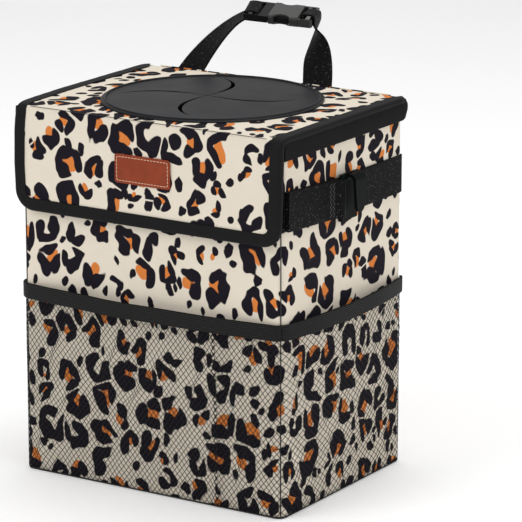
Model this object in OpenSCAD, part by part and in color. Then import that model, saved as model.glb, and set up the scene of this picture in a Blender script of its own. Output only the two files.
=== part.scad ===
// Car trash bin: a stiffened cloth box with a lined inside, a lid with a slit rubber disc,
// a folding front flap, net pockets, side bag hooks and a buckled hanging handle.
// Millimetres. X runs left to right, Y front to back, Z up from the underside of the base.

/* [Body] */
// Width of the cloth box, left to right
body_w = 230; // [200:1:280]
// Depth of the cloth box, front to back
body_d = 170; // [150:1:220]
// Height of the box walls
body_h = 280; // [250:1:340]
// Radius of the upright cloth corners
corner_r = 6; // [5:0.5:12]
// Thickness of the printed outer cloth
cloth_t = 1; // [0.6:0.1:1.6]
// Thickness of the stiffening boards
board_t = 2; // [1:0.1:3]
// Thickness of the waterproof lining
lining_t = 0.6; // [0.4:0.1:1.2]
// Gap between the two halves of a side board, where the bin folds flat
fold_gap = 3; // [1:0.5:8]
// Height of the tape that binds the rim, on its outer and inner faces
rim_h = 10; // [6:1:16]
// Thickness of the binding tape
tape_t = 0.8; // [0.5:0.1:1.2]

/* [Net pockets] */
// Height of the pockets, to the top of their tapes
pocket_h = 147; // [110:1:170]
// Width of the tape along a pocket's mouth
pocket_tape_w = 12; // [8:1:20]
// How far the front pocket stands off the box at its middle
front_bulge = 8; // [6:0.5:14]
// How far the side pockets stand off the box at their middle
side_bulge = 8; // [6:0.5:12]
// Thickness of the net
net_t = 0.9; // [0.7:0.1:1.4]
// Height of the net's bottom seam above the underside of the base
net_z = 1.5; // [1:0.5:6]
// Width of a diamond of the net
mesh_w = 19; // [18:1:30]
// Height of a diamond of the net
mesh_h = 24; // [22:1:36]
// Width of the strands between the diamonds
strand_w = 3; // [2:0.5:5]

/* [Lid] */
// How far the lid stands out past each side of the box
lid_over = 3.6; // [3.6:0.1:6]
// Radius of the lid's rear corners
lid_corner_r = 8; // [4:1:14]
// Height of the skirts under the lid's sides
skirt_h = 16; // [12:1:26]
// Thickness of the padded skirts
skirt_t = 2.4; // [1.5:0.1:2.4]
// Width of the binding tape on the lid and the flap
binding_w = 9; // [6:0.5:12]

/* [Flap] */
// Drop of the flap below the top of the lid
flap_h = 79; // [60:1:84]
// Radius of the flap's lower corners
flap_corner_r = 12; // [10:1:24]
// How much narrower than the lid the flap is, at each side
flap_inset = 1.6; // [0:0.1:3]
// Length of the closing strips
strip_w = 110; // [60:1:150]
// Height of the closing strips
strip_h = 20; // [12:1:25]
// Thickness of each closing strip
strip_t = 1.5; // [1:0.1:2.5]
// Width of the leather patch
patch_w = 47.5; // [30:0.5:70]
// Height of the leather patch
patch_h = 22; // [14:0.5:30]
// Thickness of the leather patch
patch_t = 1.4; // [0.8:0.1:2.5]
// Distance of the patch's middle to the left of the flap's middle
patch_shift = 3.5; // [0:0.5:30]
// Distance from the top of the lid down to the patch
patch_drop = 26; // [20:1:36]

/* [Rubber disc] */
// Distance of the rubber disc's edge from the back of the box
disc_margin = 1.5; // [1.5:0.5:16]
// Width of the disc's flange on the lid's cloth
flange_w = 7; // [5:0.5:10]
// Thickness of the rubber
rubber_t = 1.6; // [1:0.1:2.4]
// Height of the domed middle above the flange
dome_h = 1; // [0.4:0.1:2]
// Distance of the disc's middle behind the middle of the box
disc_y = 0; // [0:0.5:2]
// Number of petals
petals = 4; // [3:1:6]
// Greatest width of a slit between two petals
slit_w = 3.6; // [1:0.1:4]
// Turn of a slit from its inner to its outer end, in degrees
slit_turn = 28; // [10:1:40]
// Distance of the slits' crossing to the left of the disc's middle
slit_shift = 5; // [0:0.5:8]

/* [Side straps] */
// Width of the webbing on the sides
strap_w = 29; // [20:1:32]
// Thickness of the webbing
webbing_t = 1.5; // [1:0.1:2]
// Drop of the side straps' middle below the rim of the box
strap_drop = 53; // [50:1:80]
// Distance of the hooks' bars from the middle of the side, towards the front
hook_y = 12; // [-10:1:20]
// Diameter of the bar that carries the hook in its webbing loop
hook_bar_d = 3.2; // [2.4:0.1:4]
// How far the tongue of a hook stands off its back plate
hook_gap = 5.5; // [4.5:0.5:7]
// Thickness of the hooks' plastic
hook_t = 2.4; // [1.8:0.1:3]
// Width of a hook's tongue
tongue_w = 15; // [10:0.5:18]

/* [Handle] */
// Width of the handle webbing
handle_w = 25; // [20:0.5:26]
// Distance between the two sewn ends of the handle
handle_span = 120; // [100:1:124]
// Distance of the handle's middle to the left of the box's middle
handle_shift = 19; // [0:1:22]
// Length of the handle's ends that are sewn to the back
sewn_l = 30; // [20:1:40]
// Height of the joint between plug and socket above the lid
buckle_rise = 46.5; // [40:0.5:60]
// Distance of the joint between plug and socket behind the back of the box
buckle_back = 24.5; // [24:0.5:34]
// Distance of the joint between plug and socket to the left of the box's middle
buckle_shift = 18; // [6:0.5:22]
// Turn of the buckle in plan, in degrees
buckle_turn = 19; // [12:1:20]
// Dip of the buckle towards its right end, in degrees
buckle_dip = 4; // [0:1:6]
// Tilt of the buckle towards the front, in degrees
buckle_tilt = 10; // [0:1:12]
// How far the handle's legs lean back as they leave the box
leg_lean = 16; // [12:1:20]

/* [Buckle] */
// Width of the buckle's socket
socket_w = 30; // [28.5:0.5:34]
// Length of the buckle's socket, without its webbing bars
socket_l = 23; // [22:0.5:30]
// Thickness of the buckle's socket
socket_t = 8; // [7:0.1:10]
// Wall thickness of the socket
socket_wall = 1.6; // [1.2:0.1:2]
// Length of the plug's frame outside the socket
frame_l = 17; // [14:0.5:20]
// Width of the bars that hold the webbing
bar_w = 2.4; // [2:0.1:3]

/* [Hidden] */
// Running clearance between pieces that move past each other
clear = 0.3;
hx = body_w / 2;
hy = body_d / 2;
wall_t = cloth_t + board_t + lining_t;
lid_t = wall_t;
lid_z = body_h + tape_t + clear;
lid_top = lid_z + lid_t;
lid_w = body_w + 2 * lid_over;
lid_hx = lid_w / 2;
flap_hx = lid_hx - flap_inset;
axis_z = lid_z + lid_t / 2;
roll_r = lid_t / 2;
rear_axis_y = hy - roll_r;
front_axis_y = -(hy + 2 * strip_t + clear + roll_r);
lid_front = front_axis_y + roll_r + clear;
flap_z = lid_top - flap_h;
flap_in = front_axis_y + roll_r;
flap_out = front_axis_y - roll_r;
net_top = pocket_h - pocket_tape_w;
strap_z = body_h - strap_drop;
sewn_trim = 3;
disc_r = hy - disc_margin - disc_y;
hub_r = disc_r - flange_w;
hole_r = hub_r + clear;
slit_reach = hub_r - 4 - slit_shift;
strip_z = flap_z + binding_w + 1;
binding_front = flap_in + 2 * tape_t + clear;
strap_x = hx + webbing_t;
$fn = 96;

// A rectangle about the origin with all four corners rounded
module rounded_rect(w, d, r) {
    square([w - 2 * r, d], center = true);
    square([w, d - 2 * r], center = true);
    for (sx = [-1, 1], sy = [-1, 1])
        translate([sx * (w / 2 - r), sy * (d / 2 - r)]) circle(r);
}

// The outline of the box, drawn in by a distance from the face of the cloth
module box_outline(inset) {
    rounded_rect(body_w - 2 * inset, body_d - 2 * inset, corner_r - inset);
}

// One wall of the cloth tube, parted from its neighbours by mitres at the corner seams
module cloth_wall(half_w, half_d, turn) {
    reach = corner_r + cloth_t + 2;
    translate([0, 0, cloth_t]) linear_extrude(body_h - cloth_t) intersection() {
        difference() {
            box_outline(0);
            box_outline(cloth_t);
        }
        rotate(turn) polygon([
            [-half_w - 1, -half_d - 1], [half_w + 1, -half_d - 1],
            [half_w - reach, reach - half_d], [reach - half_w, reach - half_d]]);
    }
}

module front_panel() color("#dfd5c3") cloth_wall(hx, hy, 0);
module back_panel() color("#dfd5c3") cloth_wall(hx, hy, 180);
module left_panel() color("#dfd5c3") cloth_wall(hy, hx, -90);
module right_panel() color("#dfd5c3") cloth_wall(hy, hx, 90);
module base_panel() color("#262626") linear_extrude(cloth_t) box_outline(0);

// A flat stiffening board that stands against the inside of the cloth
module end_board(side) {
    translate([-(hx - corner_r), side > 0 ? hy - cloth_t - board_t : cloth_t - hy, cloth_t])
        cube([body_w - 2 * corner_r, board_t, body_h - cloth_t]);
}

module side_board(side, half) {
    board_l = hy - corner_r - fold_gap / 2;
    translate([side > 0 ? hx - cloth_t - board_t : cloth_t - hx,
        half > 0 ? fold_gap / 2 : -fold_gap / 2 - board_l, cloth_t])
        cube([board_t, board_l, body_h - cloth_t]);
}

module front_board() color("#3a3a3a") end_board(-1);
module back_board() color("#3a3a3a") end_board(1);
module left_board_front() color("#3a3a3a") side_board(-1, -1);
module left_board_rear() color("#3a3a3a") side_board(-1, 1);
module right_board_front() color("#3a3a3a") side_board(1, -1);
module right_board_rear() color("#3a3a3a") side_board(1, 1);

module base_board() color("#3a3a3a")
    translate([0, 0, cloth_t]) linear_extrude(board_t)
        rounded_rect(body_w - 2 * (cloth_t + board_t), body_d - 2 * (cloth_t + board_t),
            corner_r - cloth_t - board_t);

// The waterproof inner bag, open at the top
module lining() color("#8f9296") {
    inset = cloth_t + board_t;
    translate([0, 0, inset]) difference() {
        linear_extrude(body_h - inset) box_outline(inset);
        translate([0, 0, lining_t]) linear_extrude(body_h) box_outline(wall_t);
    }
}

// Tape folded over the rim: outer leg, top and inner leg in one strip
module rim_binding() color("#1c1c1e")
    translate([0, 0, body_h - rim_h]) difference() {
        linear_extrude(rim_h + tape_t) difference() {
            box_outline(-tape_t);
            box_outline(wall_t + tape_t);
        }
        translate([0, 0, -1]) linear_extrude(rim_h + 1) difference() {
            box_outline(0);
            box_outline(wall_t);
        }
    }

// Radius of an arc that bows out by its bulge over its span
function bow_radius(span, bulge) = (span * span / 4 + bulge * bulge) / (2 * bulge);

// The space between a flat wall on Y = 0 and the bow, trimmed where the bow's ends are sewn down
module bow_field(span, bulge)
    translate([sewn_trim - span / 2, -bulge - 1]) square([span - 2 * sewn_trim, bulge + 1]);

// Plan of a strip that bows out from a flat wall on Y = 0 towards -Y between its sewn ends
module bowed_strip(span, bulge, thickness) {
    bow_r = bow_radius(span, bulge);
    intersection() {
        translate([0, bow_r - bulge]) difference() {
            circle(bow_r, $fn = 720);
            circle(bow_r - thickness, $fn = 720);
        }
        bow_field(span, bulge);
    }
}

// The gusset that closes the bottom of a pocket
module pocket_floor(span, bulge) {
    bow_r = bow_radius(span, bulge);
    intersection() {
        translate([0, bow_r - bulge]) circle(bow_r, $fn = 720);
        bow_field(span, bulge);
    }
}

// A net wall with rows of diamonds, every second row shifted by half a diamond
module net_wall(span, bulge) {
    field_w = span - mesh_w;
    columns = floor(field_w / mesh_w);
    rows = floor(2 * (net_top - net_z - mesh_h) / mesh_h);
    first_z = (net_z + net_top - (rows - 1) * mesh_h / 2) / 2;
    difference() {
        translate([0, 0, net_z]) union() {
            linear_extrude(net_top - net_z) bowed_strip(span, bulge, net_t);
            linear_extrude(net_t) pocket_floor(span, bulge);
        }
        for (row = [0:rows - 1]) {
            count = columns - row % 2;
            for (i = [0:count - 1])
                translate([(i - (count - 1) / 2) * mesh_w, 1, first_z + row * mesh_h / 2])
                    rotate([90, 0, 0])
                        linear_extrude(bulge + 3)
                            polygon([[strand_w / 2 - mesh_w / 2, 0], [0, strand_w / 2 - mesh_h / 2],
                                [mesh_w / 2 - strand_w / 2, 0], [0, mesh_h / 2 - strand_w / 2]]);
        }
    }
}

module pocket_tape(span, bulge)
    translate([0, 0, net_top]) linear_extrude(pocket_tape_w)
        bowed_strip(span, bulge + tape_t, net_t + 2 * tape_t);

front_span = body_w - 2 * corner_r;
side_span = body_d - 2 * corner_r;

module on_front() translate([0, -hy, 0]) children();
module on_right() translate([hx, 0, 0]) rotate(90) children();
module on_left() mirror([1, 0, 0]) on_right() children();

module front_net() color("#1b1b1d") on_front() net_wall(front_span, front_bulge);
module right_net() color("#1b1b1d") on_right() net_wall(side_span, side_bulge);
module left_net() color("#1b1b1d") on_left() net_wall(side_span, side_bulge);
module front_pocket_tape() color("#161617") on_front() pocket_tape(front_span, front_bulge);
module right_pocket_tape() color("#161617") on_right() pocket_tape(side_span, side_bulge);
module left_pocket_tape() color("#161617") on_left() pocket_tape(side_span, side_bulge);

// Webbing sewn flat to the side from seam to seam
module side_strap()
    translate([hx, corner_r - hy, strap_z - strap_w / 2])
        cube([webbing_t, body_d - 2 * corner_r, strap_w]);

// A second length of webbing, sewn down at the front and looped round the hook's bar
loop_in = hook_bar_d / 2 + clear;
loop_out = loop_in + webbing_t;
bar_x = strap_x + loop_out;
loop_sewn = hy - corner_r - hook_y - 14;

module hook_loop()
    translate([0, -hook_y, strap_z - strap_w / 2]) linear_extrude(strap_w) {
        difference() {
            union() {
                translate([bar_x, 0]) circle(loop_out);
                translate([strap_x, -loop_sewn - 14]) square([webbing_t, loop_sewn + 14]);
                polygon([[strap_x + webbing_t, -14], [strap_x + 2 * webbing_t, -14],
                    [bar_x + loop_out, 0], [bar_x + loop_in, 0]]);
                translate([strap_x + webbing_t, -loop_sewn - 14]) square([webbing_t, loop_sewn]);
            }
            translate([bar_x, 0]) circle(loop_in);
        }
    }

// One moulding: a bar for the loop, a back plate, and a tapered tongue that turns down from the top
module bag_hook() {
    rail = 2.6;
    plate_x = bar_x - hook_t / 2;
    slot = loop_out + clear;
    plate_l = tongue_w + 2;
    top_z = strap_z + strap_w / 2 + clear;
    low_z = strap_z - strap_w / 2 - clear;
    bend_r = hook_gap / 2;
    bend_x = plate_x + hook_t + bend_r;
    bend_z = top_z - bend_r;
    tip_r = tongue_w / 2 - 2;
    translate([0, -hook_y, 0]) {
        translate([bar_x, 0, low_z - rail]) cylinder(h = strap_w + 2 * clear + 2 * rail, d = hook_bar_d);
        for (z = [low_z - rail, top_z])
            translate([plate_x, 0, z]) cube([hook_t, slot + plate_l, rail]);
        translate([plate_x, slot, low_z]) cube([hook_t, plate_l, top_z - low_z]);
        translate([0, slot + plate_l, 0]) rotate([90, 0, 0]) linear_extrude(tongue_w) {
            intersection() {
                translate([bend_x, bend_z]) difference() {
                    circle(bend_r + hook_t);
                    circle(bend_r);
                }
                translate([plate_x - 1, bend_z]) square([hook_gap + 2 * hook_t + 2, bend_r + hook_t]);
            }
        }
        translate([bend_x + bend_r, slot + plate_l - tongue_w / 2, 0]) rotate([90, 0, 90])
            linear_extrude(hook_t) {
                polygon([[-tongue_w / 2, bend_z], [-tip_r, low_z + tip_r + 3],
                    [tip_r, low_z + tip_r + 3], [tongue_w / 2, bend_z]]);
                translate([0, low_z + tip_r + 3]) circle(tip_r);
            }
    }
}

module right_side_strap() color("#1b1b1b") side_strap();
module left_side_strap() color("#1b1b1b") mirror([1, 0, 0]) side_strap();
module right_hook_loop() color("#1b1b1b") hook_loop();
module left_hook_loop() color("#1b1b1b") mirror([1, 0, 0]) hook_loop();
module right_bag_hook() color("#222423") bag_hook();
module left_bag_hook() color("#222423") mirror([1, 0, 0]) bag_hook();

// Closing strips: the loop half on the box and the hook half inside the flap
module loop_strip() color("#222222")
    translate([-strip_w / 2, -hy - strip_t, strip_z]) cube([strip_w, strip_t, strip_h]);
module hook_strip() color("#222222")
    translate([-strip_w / 2, flap_in, strip_z]) cube([strip_w, strip_t, strip_h]);

// Place of the buckle: X runs from the plug to the socket, Y across the webbing, Z up
buckle_at = [-buckle_shift, hy + buckle_back, lid_top + buckle_rise];
module at_buckle()
    translate(buckle_at) rotate([0, 0, buckle_turn]) rotate([buckle_tilt, buckle_dip, 0]) children();

// A direction or offset given in the buckle's own frame, turned into the frame of the bin
function to_bin(v) = let (
    tilted = [v.x, v.y * cos(buckle_tilt) - v.z * sin(buckle_tilt),
        v.y * sin(buckle_tilt) + v.z * cos(buckle_tilt)],
    dipped = [tilted.x * cos(buckle_dip) + tilted.z * sin(buckle_dip), tilted.y,
        tilted.z * cos(buckle_dip) - tilted.x * sin(buckle_dip)])
    [dipped.x * cos(buckle_turn) - dipped.y * sin(buckle_turn),
        dipped.x * sin(buckle_turn) + dipped.y * cos(buckle_turn), dipped.z];

web_slot = 3.2;
socket_end = 1 + socket_l;
bar_end = socket_end + 2 * (bar_w + web_slot);
cavity_w = socket_w - 2 * socket_wall;
cavity_t = socket_t - 2 * socket_wall;
plug_t = cavity_t - 2 * clear;
arm_w = 3.2;
frame_t = 5.2;
end_bar_t = socket_t - 2;

// Socket: a flat moulded sleeve, open to the left, with side windows and two webbing bars
module buckle_socket() color("#4a4b4d") at_buckle() difference() {
    union() {
        translate([1, 0, 0]) rotate([90, 0, 90]) linear_extrude(socket_l)
            rounded_rect(socket_w, socket_t, 2.4);
        translate([socket_end - 1, 0, -end_bar_t / 2]) linear_extrude(end_bar_t)
            translate([(bar_end - socket_end + 1) / 2, 0])
                rounded_rect(bar_end - socket_end + 1, socket_w, 2);
    }
    translate([0, -cavity_w / 2, -cavity_t / 2]) cube([socket_l - 1, cavity_w, cavity_t]);
    for (side = [-1, 1]) translate([11, side * (socket_w / 2 + 3), 0])
        cylinder(h = socket_t + 2, r = 7.5, center = true);
    for (i = [0, 1])
        translate([socket_end + i * (bar_w + web_slot), -handle_w / 2 - 0.6, -socket_t])
            cube([web_slot, handle_w + 1.2, 2 * socket_t]);
}

// Plug: a frame with two webbing bars, a guide tongue and two sprung arms with latch heads
module buckle_plug() color("#1c1c1e") at_buckle() {
    arm_y = cavity_w / 2 - clear - arm_w;
    translate([-frame_l - 1, 0, -frame_t / 2]) difference() {
        translate([0, -socket_w / 2, 0]) cube([frame_l + 1.5, socket_w, frame_t]);
        for (i = [0, 1])
            translate([bar_w + i * (bar_w + web_slot), -handle_w / 2 - 0.6, -1])
                cube([web_slot, handle_w + 1.2, 8]);
    }
    translate([0, 0, -plug_t / 2]) linear_extrude(plug_t) {
        translate([0, -3]) square([18, 6]);
        for (side = [-1, 1]) mirror([0, side > 0 ? 0 : 1]) {
            translate([0, arm_y]) square([16, arm_w - 1]);
            translate([16, arm_y + arm_w / 2]) circle(arm_w / 2);
            translate([9, arm_y]) square([7, arm_w]);
        }
    }
}

// A smooth ribbon of webbing along a curve from the back of the box to an end of the buckle
function bezier(p, t) = pow(1 - t, 3) * p[0] + 3 * t * pow(1 - t, 2) * p[1]
    + 3 * t * t * (1 - t) * p[2] + pow(t, 3) * p[3];
function slope(p, t) = pow(1 - t, 2) * (p[1] - p[0]) + 2 * t * (1 - t) * (p[2] - p[1])
    + t * t * (p[3] - p[2]);
function unit(v) = v / norm(v);

leg_steps = 18;

module webbing_ribbon(path, turn, rise) {
    rings = [for (i = [0:leg_steps]) let (
        t = i / leg_steps,
        along = unit(slope(path, t)),
        ease = t * t * (3 - 2 * t),
        flat_dir = [cos(turn * ease), sin(turn * ease), rise * ease],
        across = unit(flat_dir - (flat_dir * along) * along),
        out = unit(cross(along, across)),
        mid = bezier(path, t))
        for (corner = [[-1, -1], [1, -1], [1, 1], [-1, 1]])
            mid + across * corner[0] * handle_w / 2 + out * corner[1] * webbing_t / 2];
    faces = concat(
        [[0, 1, 2], [0, 2, 3]],
        [for (cap = [[2, 1, 0], [3, 2, 0]]) [for (k = cap) 4 * leg_steps + k]],
        [for (i = [0:leg_steps - 1], k = [0:3]) [4 * i + k, 4 * i + 4 + k, 4 * i + 4 + (k + 1) % 4]],
        [for (i = [0:leg_steps - 1], k = [0:3])
            [4 * i + k, 4 * i + 4 + (k + 1) % 4, 4 * i + (k + 1) % 4]]);
    polyhedron(points = rings, faces = faces);
}

// Webbing folded round a bar of the buckle and sewn back on itself
module webbing_loop(x, bar_t) {
    inner = 2 * clear;
    outer = inner + 2 * webbing_t;
    at_buckle() translate([x, 0, 0]) rotate([90, 0, 0])
        linear_extrude(handle_w, center = true) difference() {
            rounded_rect(bar_w + outer, bar_t + outer, 1.6);
            rounded_rect(bar_w + inner, bar_t + inner, 0.4);
        }
}

// Sewn end on the back, the free leg, and the loop round a bar of the buckle
module handle_leg(side, bar_at, bar_t, reach, drop) {
    base_x = side * handle_span / 2 - handle_shift;
    base_z = body_h - rim_h - 6;
    end_x = bar_at + side * (bar_w / 2 + clear + webbing_t / 2);
    end_at = buckle_at + to_bin([end_x, 0, -bar_t / 2 - clear - webbing_t / 2]);
    cross_dir = side * to_bin([0, 1, 0]);
    translate([base_x - handle_w / 2, hy, base_z - sewn_l])
        cube([handle_w, webbing_t, sewn_l]);
    webbing_ribbon([
        [base_x, hy + webbing_t / 2, base_z],
        [base_x, hy + webbing_t / 2 + leg_lean, base_z + 37],
        end_at + to_bin([side * reach, 0, 0]) - [0, 0, drop],
        end_at],
        side > 0 ? 90 + buckle_turn : buckle_turn - 90, cross_dir.z);
    webbing_loop(bar_at, bar_t);
}

module handle_leg_left() color("#17171a")
    handle_leg(-1, -frame_l - 1 + bar_w / 2, frame_t, 24, 10);
module handle_leg_right() color("#17171a")
    handle_leg(1, bar_end - bar_w / 2, end_bar_t, 4, 22);

// Outline of the lid in plan, from behind the front crease to its rear roll
module lid_outline(rear) {
    depth = rear - lid_front;
    translate([-lid_hx, lid_front]) square([lid_w, depth - lid_corner_r]);
    translate([lid_corner_r - lid_hx, lid_front]) square([lid_w - 2 * lid_corner_r, depth]);
    for (side = [-1, 1])
        translate([side * (lid_hx - lid_corner_r), rear - lid_corner_r]) circle(lid_corner_r);
}

module lid_layer(z, thickness, rear)
    translate([0, 0, z]) linear_extrude(thickness) difference() {
        lid_outline(rear);
        translate([0, disc_y]) circle(hole_r);
    }

module lid_cloth() color("#dfd5c3") {
    lid_layer(lid_top - cloth_t, cloth_t, rear_axis_y);
    difference() {
        translate([lid_corner_r - lid_hx, rear_axis_y, axis_z]) rotate([0, 90, 0])
            cylinder(h = lid_w - 2 * lid_corner_r, r = roll_r);
        translate([0, disc_y, lid_z - 1]) cylinder(h = lid_t + 2, r = hole_r);
    }
}
module lid_board() color("#3a3a3a")
    lid_layer(lid_z + lining_t, board_t, rear_axis_y - roll_r);
module lid_lining() color("#8f9296") lid_layer(lid_z, lining_t, rear_axis_y - roll_r);

// Padded skirt that hangs beside the box from the lid's side edge
module skirt() {
    skirt_r = skirt_h / 2;
    rear = hy + 3;
    translate([lid_hx - skirt_t, 0, 0]) rotate([90, 0, 90]) linear_extrude(skirt_t) {
        translate([binding_front, lid_z - skirt_h])
            square([rear - skirt_r - binding_front, skirt_h]);
        translate([rear - 2 * skirt_r, lid_z - skirt_h + skirt_r])
            square([2 * skirt_r, skirt_h - skirt_r]);
        translate([rear - skirt_r, lid_z - skirt_h + skirt_r]) circle(skirt_r);
    }
}
module right_skirt() color("#1d1d1f") skirt();
module left_skirt() color("#1d1d1f") mirror([1, 0, 0]) skirt();

// Tape folded over the lid's side edge, flat on the cloth and down over the skirt
module lid_binding()
    translate([0, rear_axis_y - lid_corner_r, 0]) rotate([90, 0, 0])
        linear_extrude(rear_axis_y - lid_corner_r - binding_front) difference() {
            union() {
                translate([lid_hx - binding_w, lid_top - binding_w])
                    square([binding_w, binding_w + tape_t]);
                translate([lid_hx - binding_w, lid_top - binding_w])
                    square([binding_w + tape_t, binding_w]);
                translate([lid_hx, lid_top]) circle(tape_t);
            }
            translate([lid_hx - 2 * binding_w, lid_top - 2 * binding_w]) square(2 * binding_w);
        }
module right_lid_binding() color("#141415") lid_binding();
module left_lid_binding() color("#141415") mirror([1, 0, 0]) lid_binding();

// Points down one side of a slit: the slit curves with radius and swells towards its outer part
function slit_angle(r) = slit_turn * (pow(r / slit_reach, 1.9) - 0.2);
function slit_half(r) = 0.3 + (slit_w / 2 - 0.3) * sin(180 * pow(r / slit_reach, 1.4));
function slit_point(r, side) = [
    r * cos(slit_angle(r)) - side * slit_half(r) * sin(slit_angle(r)),
    r * sin(slit_angle(r)) + side * slit_half(r) * cos(slit_angle(r))];

slit_points = 16;

module slit() polygon(concat(
    [for (i = [0:slit_points]) slit_point(slit_reach * i / slit_points, -1)],
    [for (i = [slit_points:-1:0]) slit_point(slit_reach * i / slit_points, 1)]));

// One rubber moulding: flange with a raised bead, a hub in the lid's hole, a domed middle cut
// by curved slits into petals that stay joined to the rim
module petal_disc() color("#353639") translate([0, disc_y, lid_top]) difference() {
    bead_r = disc_r - flange_w / 2;
    rotate_extrude() {
        polygon([
            [0, dome_h], [hub_r - 3, 0], [hub_r - 2, 0], [hub_r - 2, -lid_t], [hub_r, -lid_t],
            [hub_r, 0], [disc_r, 0], [disc_r, rubber_t * 0.6], [disc_r - 1, rubber_t],
            [hub_r - 2, rubber_t], [0, rubber_t + dome_h]]);
        translate([bead_r, rubber_t]) intersection() {
            circle(1.1);
            translate([-2, -0.2]) square([4, 2]);
        }
    }
    translate([-slit_shift, 0, -1]) for (i = [0:petals - 1]) rotate(i * 360 / petals)
        linear_extrude(rubber_t + dome_h + 2) slit();
}

// Outline of the flap seen from the front, drawn in by a distance
module flap_outline(inset) {
    r = flap_corner_r - inset;
    half = flap_hx - inset;
    low = flap_z + inset;
    top = axis_z;
    translate([-half, low + r]) square([2 * half, top - low - r]);
    translate([r - half, low]) square([2 * (half - r), top - low]);
    for (side = [-1, 1]) translate([side * (half - r), low + r]) circle(r);
}

// A layer of the flap between two distances from its outer face
module flap_layer(from_out, thickness, top)
    translate([0, flap_out + from_out + thickness, 0]) rotate([90, 0, 0])
        linear_extrude(thickness) intersection() {
            flap_outline(0);
            translate([-lid_w, 0]) square([2 * lid_w, top]);
        }

module flap_cloth() color("#dfd5c3") {
    flap_layer(0, cloth_t, axis_z);
    translate([-flap_hx, front_axis_y, axis_z]) rotate([0, 90, 0])
        cylinder(h = 2 * flap_hx, r = roll_r);
}
module flap_board() color("#3a3a3a") flap_layer(cloth_t, board_t, axis_z - roll_r);
module flap_lining() color("#8f9296")
    flap_layer(cloth_t + board_t, lining_t, axis_z - roll_r);

// Tape folded round the flap's three free edges
module flap_binding() color("#141415")
    intersection() {
        translate([0, flap_in + tape_t, 0]) rotate([90, 0, 0]) difference() {
            linear_extrude(lid_t + 2 * tape_t) flap_outline(-tape_t);
            translate([0, 0, tape_t]) linear_extrude(lid_t) flap_outline(0);
            translate([0, 0, -1]) linear_extrude(lid_t + 2 * tape_t + 2) intersection() {
                flap_outline(binding_w);
                translate([-lid_w, 0]) square([2 * lid_w, 2 * body_h]);
            }
        }
        translate([-lid_w, flap_out - 5, 0])
            cube([2 * lid_w, lid_t + 10, axis_z - roll_r - 2 * clear]);
    }

module leather_patch() color("#96482a")
    translate([-patch_shift, flap_out, lid_top - patch_drop - patch_h / 2])
        rotate([90, 0, 0]) linear_extrude(patch_t) rounded_rect(patch_w, patch_h, 2.5);

front_panel();
back_panel();
left_panel();
right_panel();
base_panel();
front_board();
back_board();
left_board_front();
left_board_rear();
right_board_front();
right_board_rear();
base_board();
lining();
rim_binding();
front_net();
left_net();
right_net();
front_pocket_tape();
left_pocket_tape();
right_pocket_tape();
left_side_strap();
right_side_strap();
left_hook_loop();
right_hook_loop();
left_bag_hook();
right_bag_hook();
loop_strip();
handle_leg_left();
handle_leg_right();
buckle_socket();
buckle_plug();
lid_cloth();
lid_board();
lid_lining();
left_skirt();
right_skirt();
left_lid_binding();
right_lid_binding();
petal_disc();
flap_cloth();
flap_board();
flap_lining();
flap_binding();
hook_strip();
leather_patch();
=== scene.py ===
import math

import bpy
import numpy as np
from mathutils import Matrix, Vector


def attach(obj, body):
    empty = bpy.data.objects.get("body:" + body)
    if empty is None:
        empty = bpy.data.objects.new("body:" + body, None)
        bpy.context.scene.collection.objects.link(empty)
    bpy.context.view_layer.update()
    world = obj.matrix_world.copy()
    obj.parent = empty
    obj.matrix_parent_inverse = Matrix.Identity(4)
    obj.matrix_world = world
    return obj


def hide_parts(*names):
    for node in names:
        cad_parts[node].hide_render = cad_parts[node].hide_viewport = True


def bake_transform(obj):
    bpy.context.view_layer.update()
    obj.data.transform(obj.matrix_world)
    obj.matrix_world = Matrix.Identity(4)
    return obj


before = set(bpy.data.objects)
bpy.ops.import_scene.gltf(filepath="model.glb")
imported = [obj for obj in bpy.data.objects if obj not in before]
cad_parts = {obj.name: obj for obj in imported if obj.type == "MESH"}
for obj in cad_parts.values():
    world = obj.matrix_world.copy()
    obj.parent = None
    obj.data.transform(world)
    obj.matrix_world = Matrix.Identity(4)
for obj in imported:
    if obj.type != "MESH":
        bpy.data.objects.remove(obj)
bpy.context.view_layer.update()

# The studio: a pale seamless floor under a white sky, with three large soft lights.
# The camera stands in front and to the right of the bin, a little above its lid.
MM = 0.001
camera_turn, camera_dip, look_aside = (math.radians(a) for a in (33.5, 14.625, 0.827))
camera_away, camera_up, bin_middle = 2.5, 0.8125, Vector((0, 0, 0.14))
bpy.ops.object.camera_add(
    location=(camera_away * math.sin(camera_turn), -camera_away * math.cos(camera_turn), camera_up),
    rotation=(math.pi / 2 - camera_dip, 0, camera_turn - look_aside))
camera = bpy.context.object
camera.data.lens = 236.2
camera.data.sensor_width = 36
camera.data.clip_end = 50
bpy.context.scene.camera = camera

bpy.ops.mesh.primitive_plane_add(size=24, location=(0, 0, -0.0002))
floor = bpy.context.object
floor.name = "floor"
paper = bpy.data.materials.new("floor_paper")
paper.use_nodes = True
paper_shader = paper.node_tree.nodes["Principled BSDF"]
paper_shader.inputs["Base Color"].default_value = (0.97, 0.97, 0.97, 1)
paper_shader.inputs["Roughness"].default_value = 0.9
paper_shader.inputs["Emission Color"].default_value = (1, 1, 1, 1)
paper_shader.inputs["Emission Strength"].default_value = 0.13
floor.data.materials.append(paper)

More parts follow.
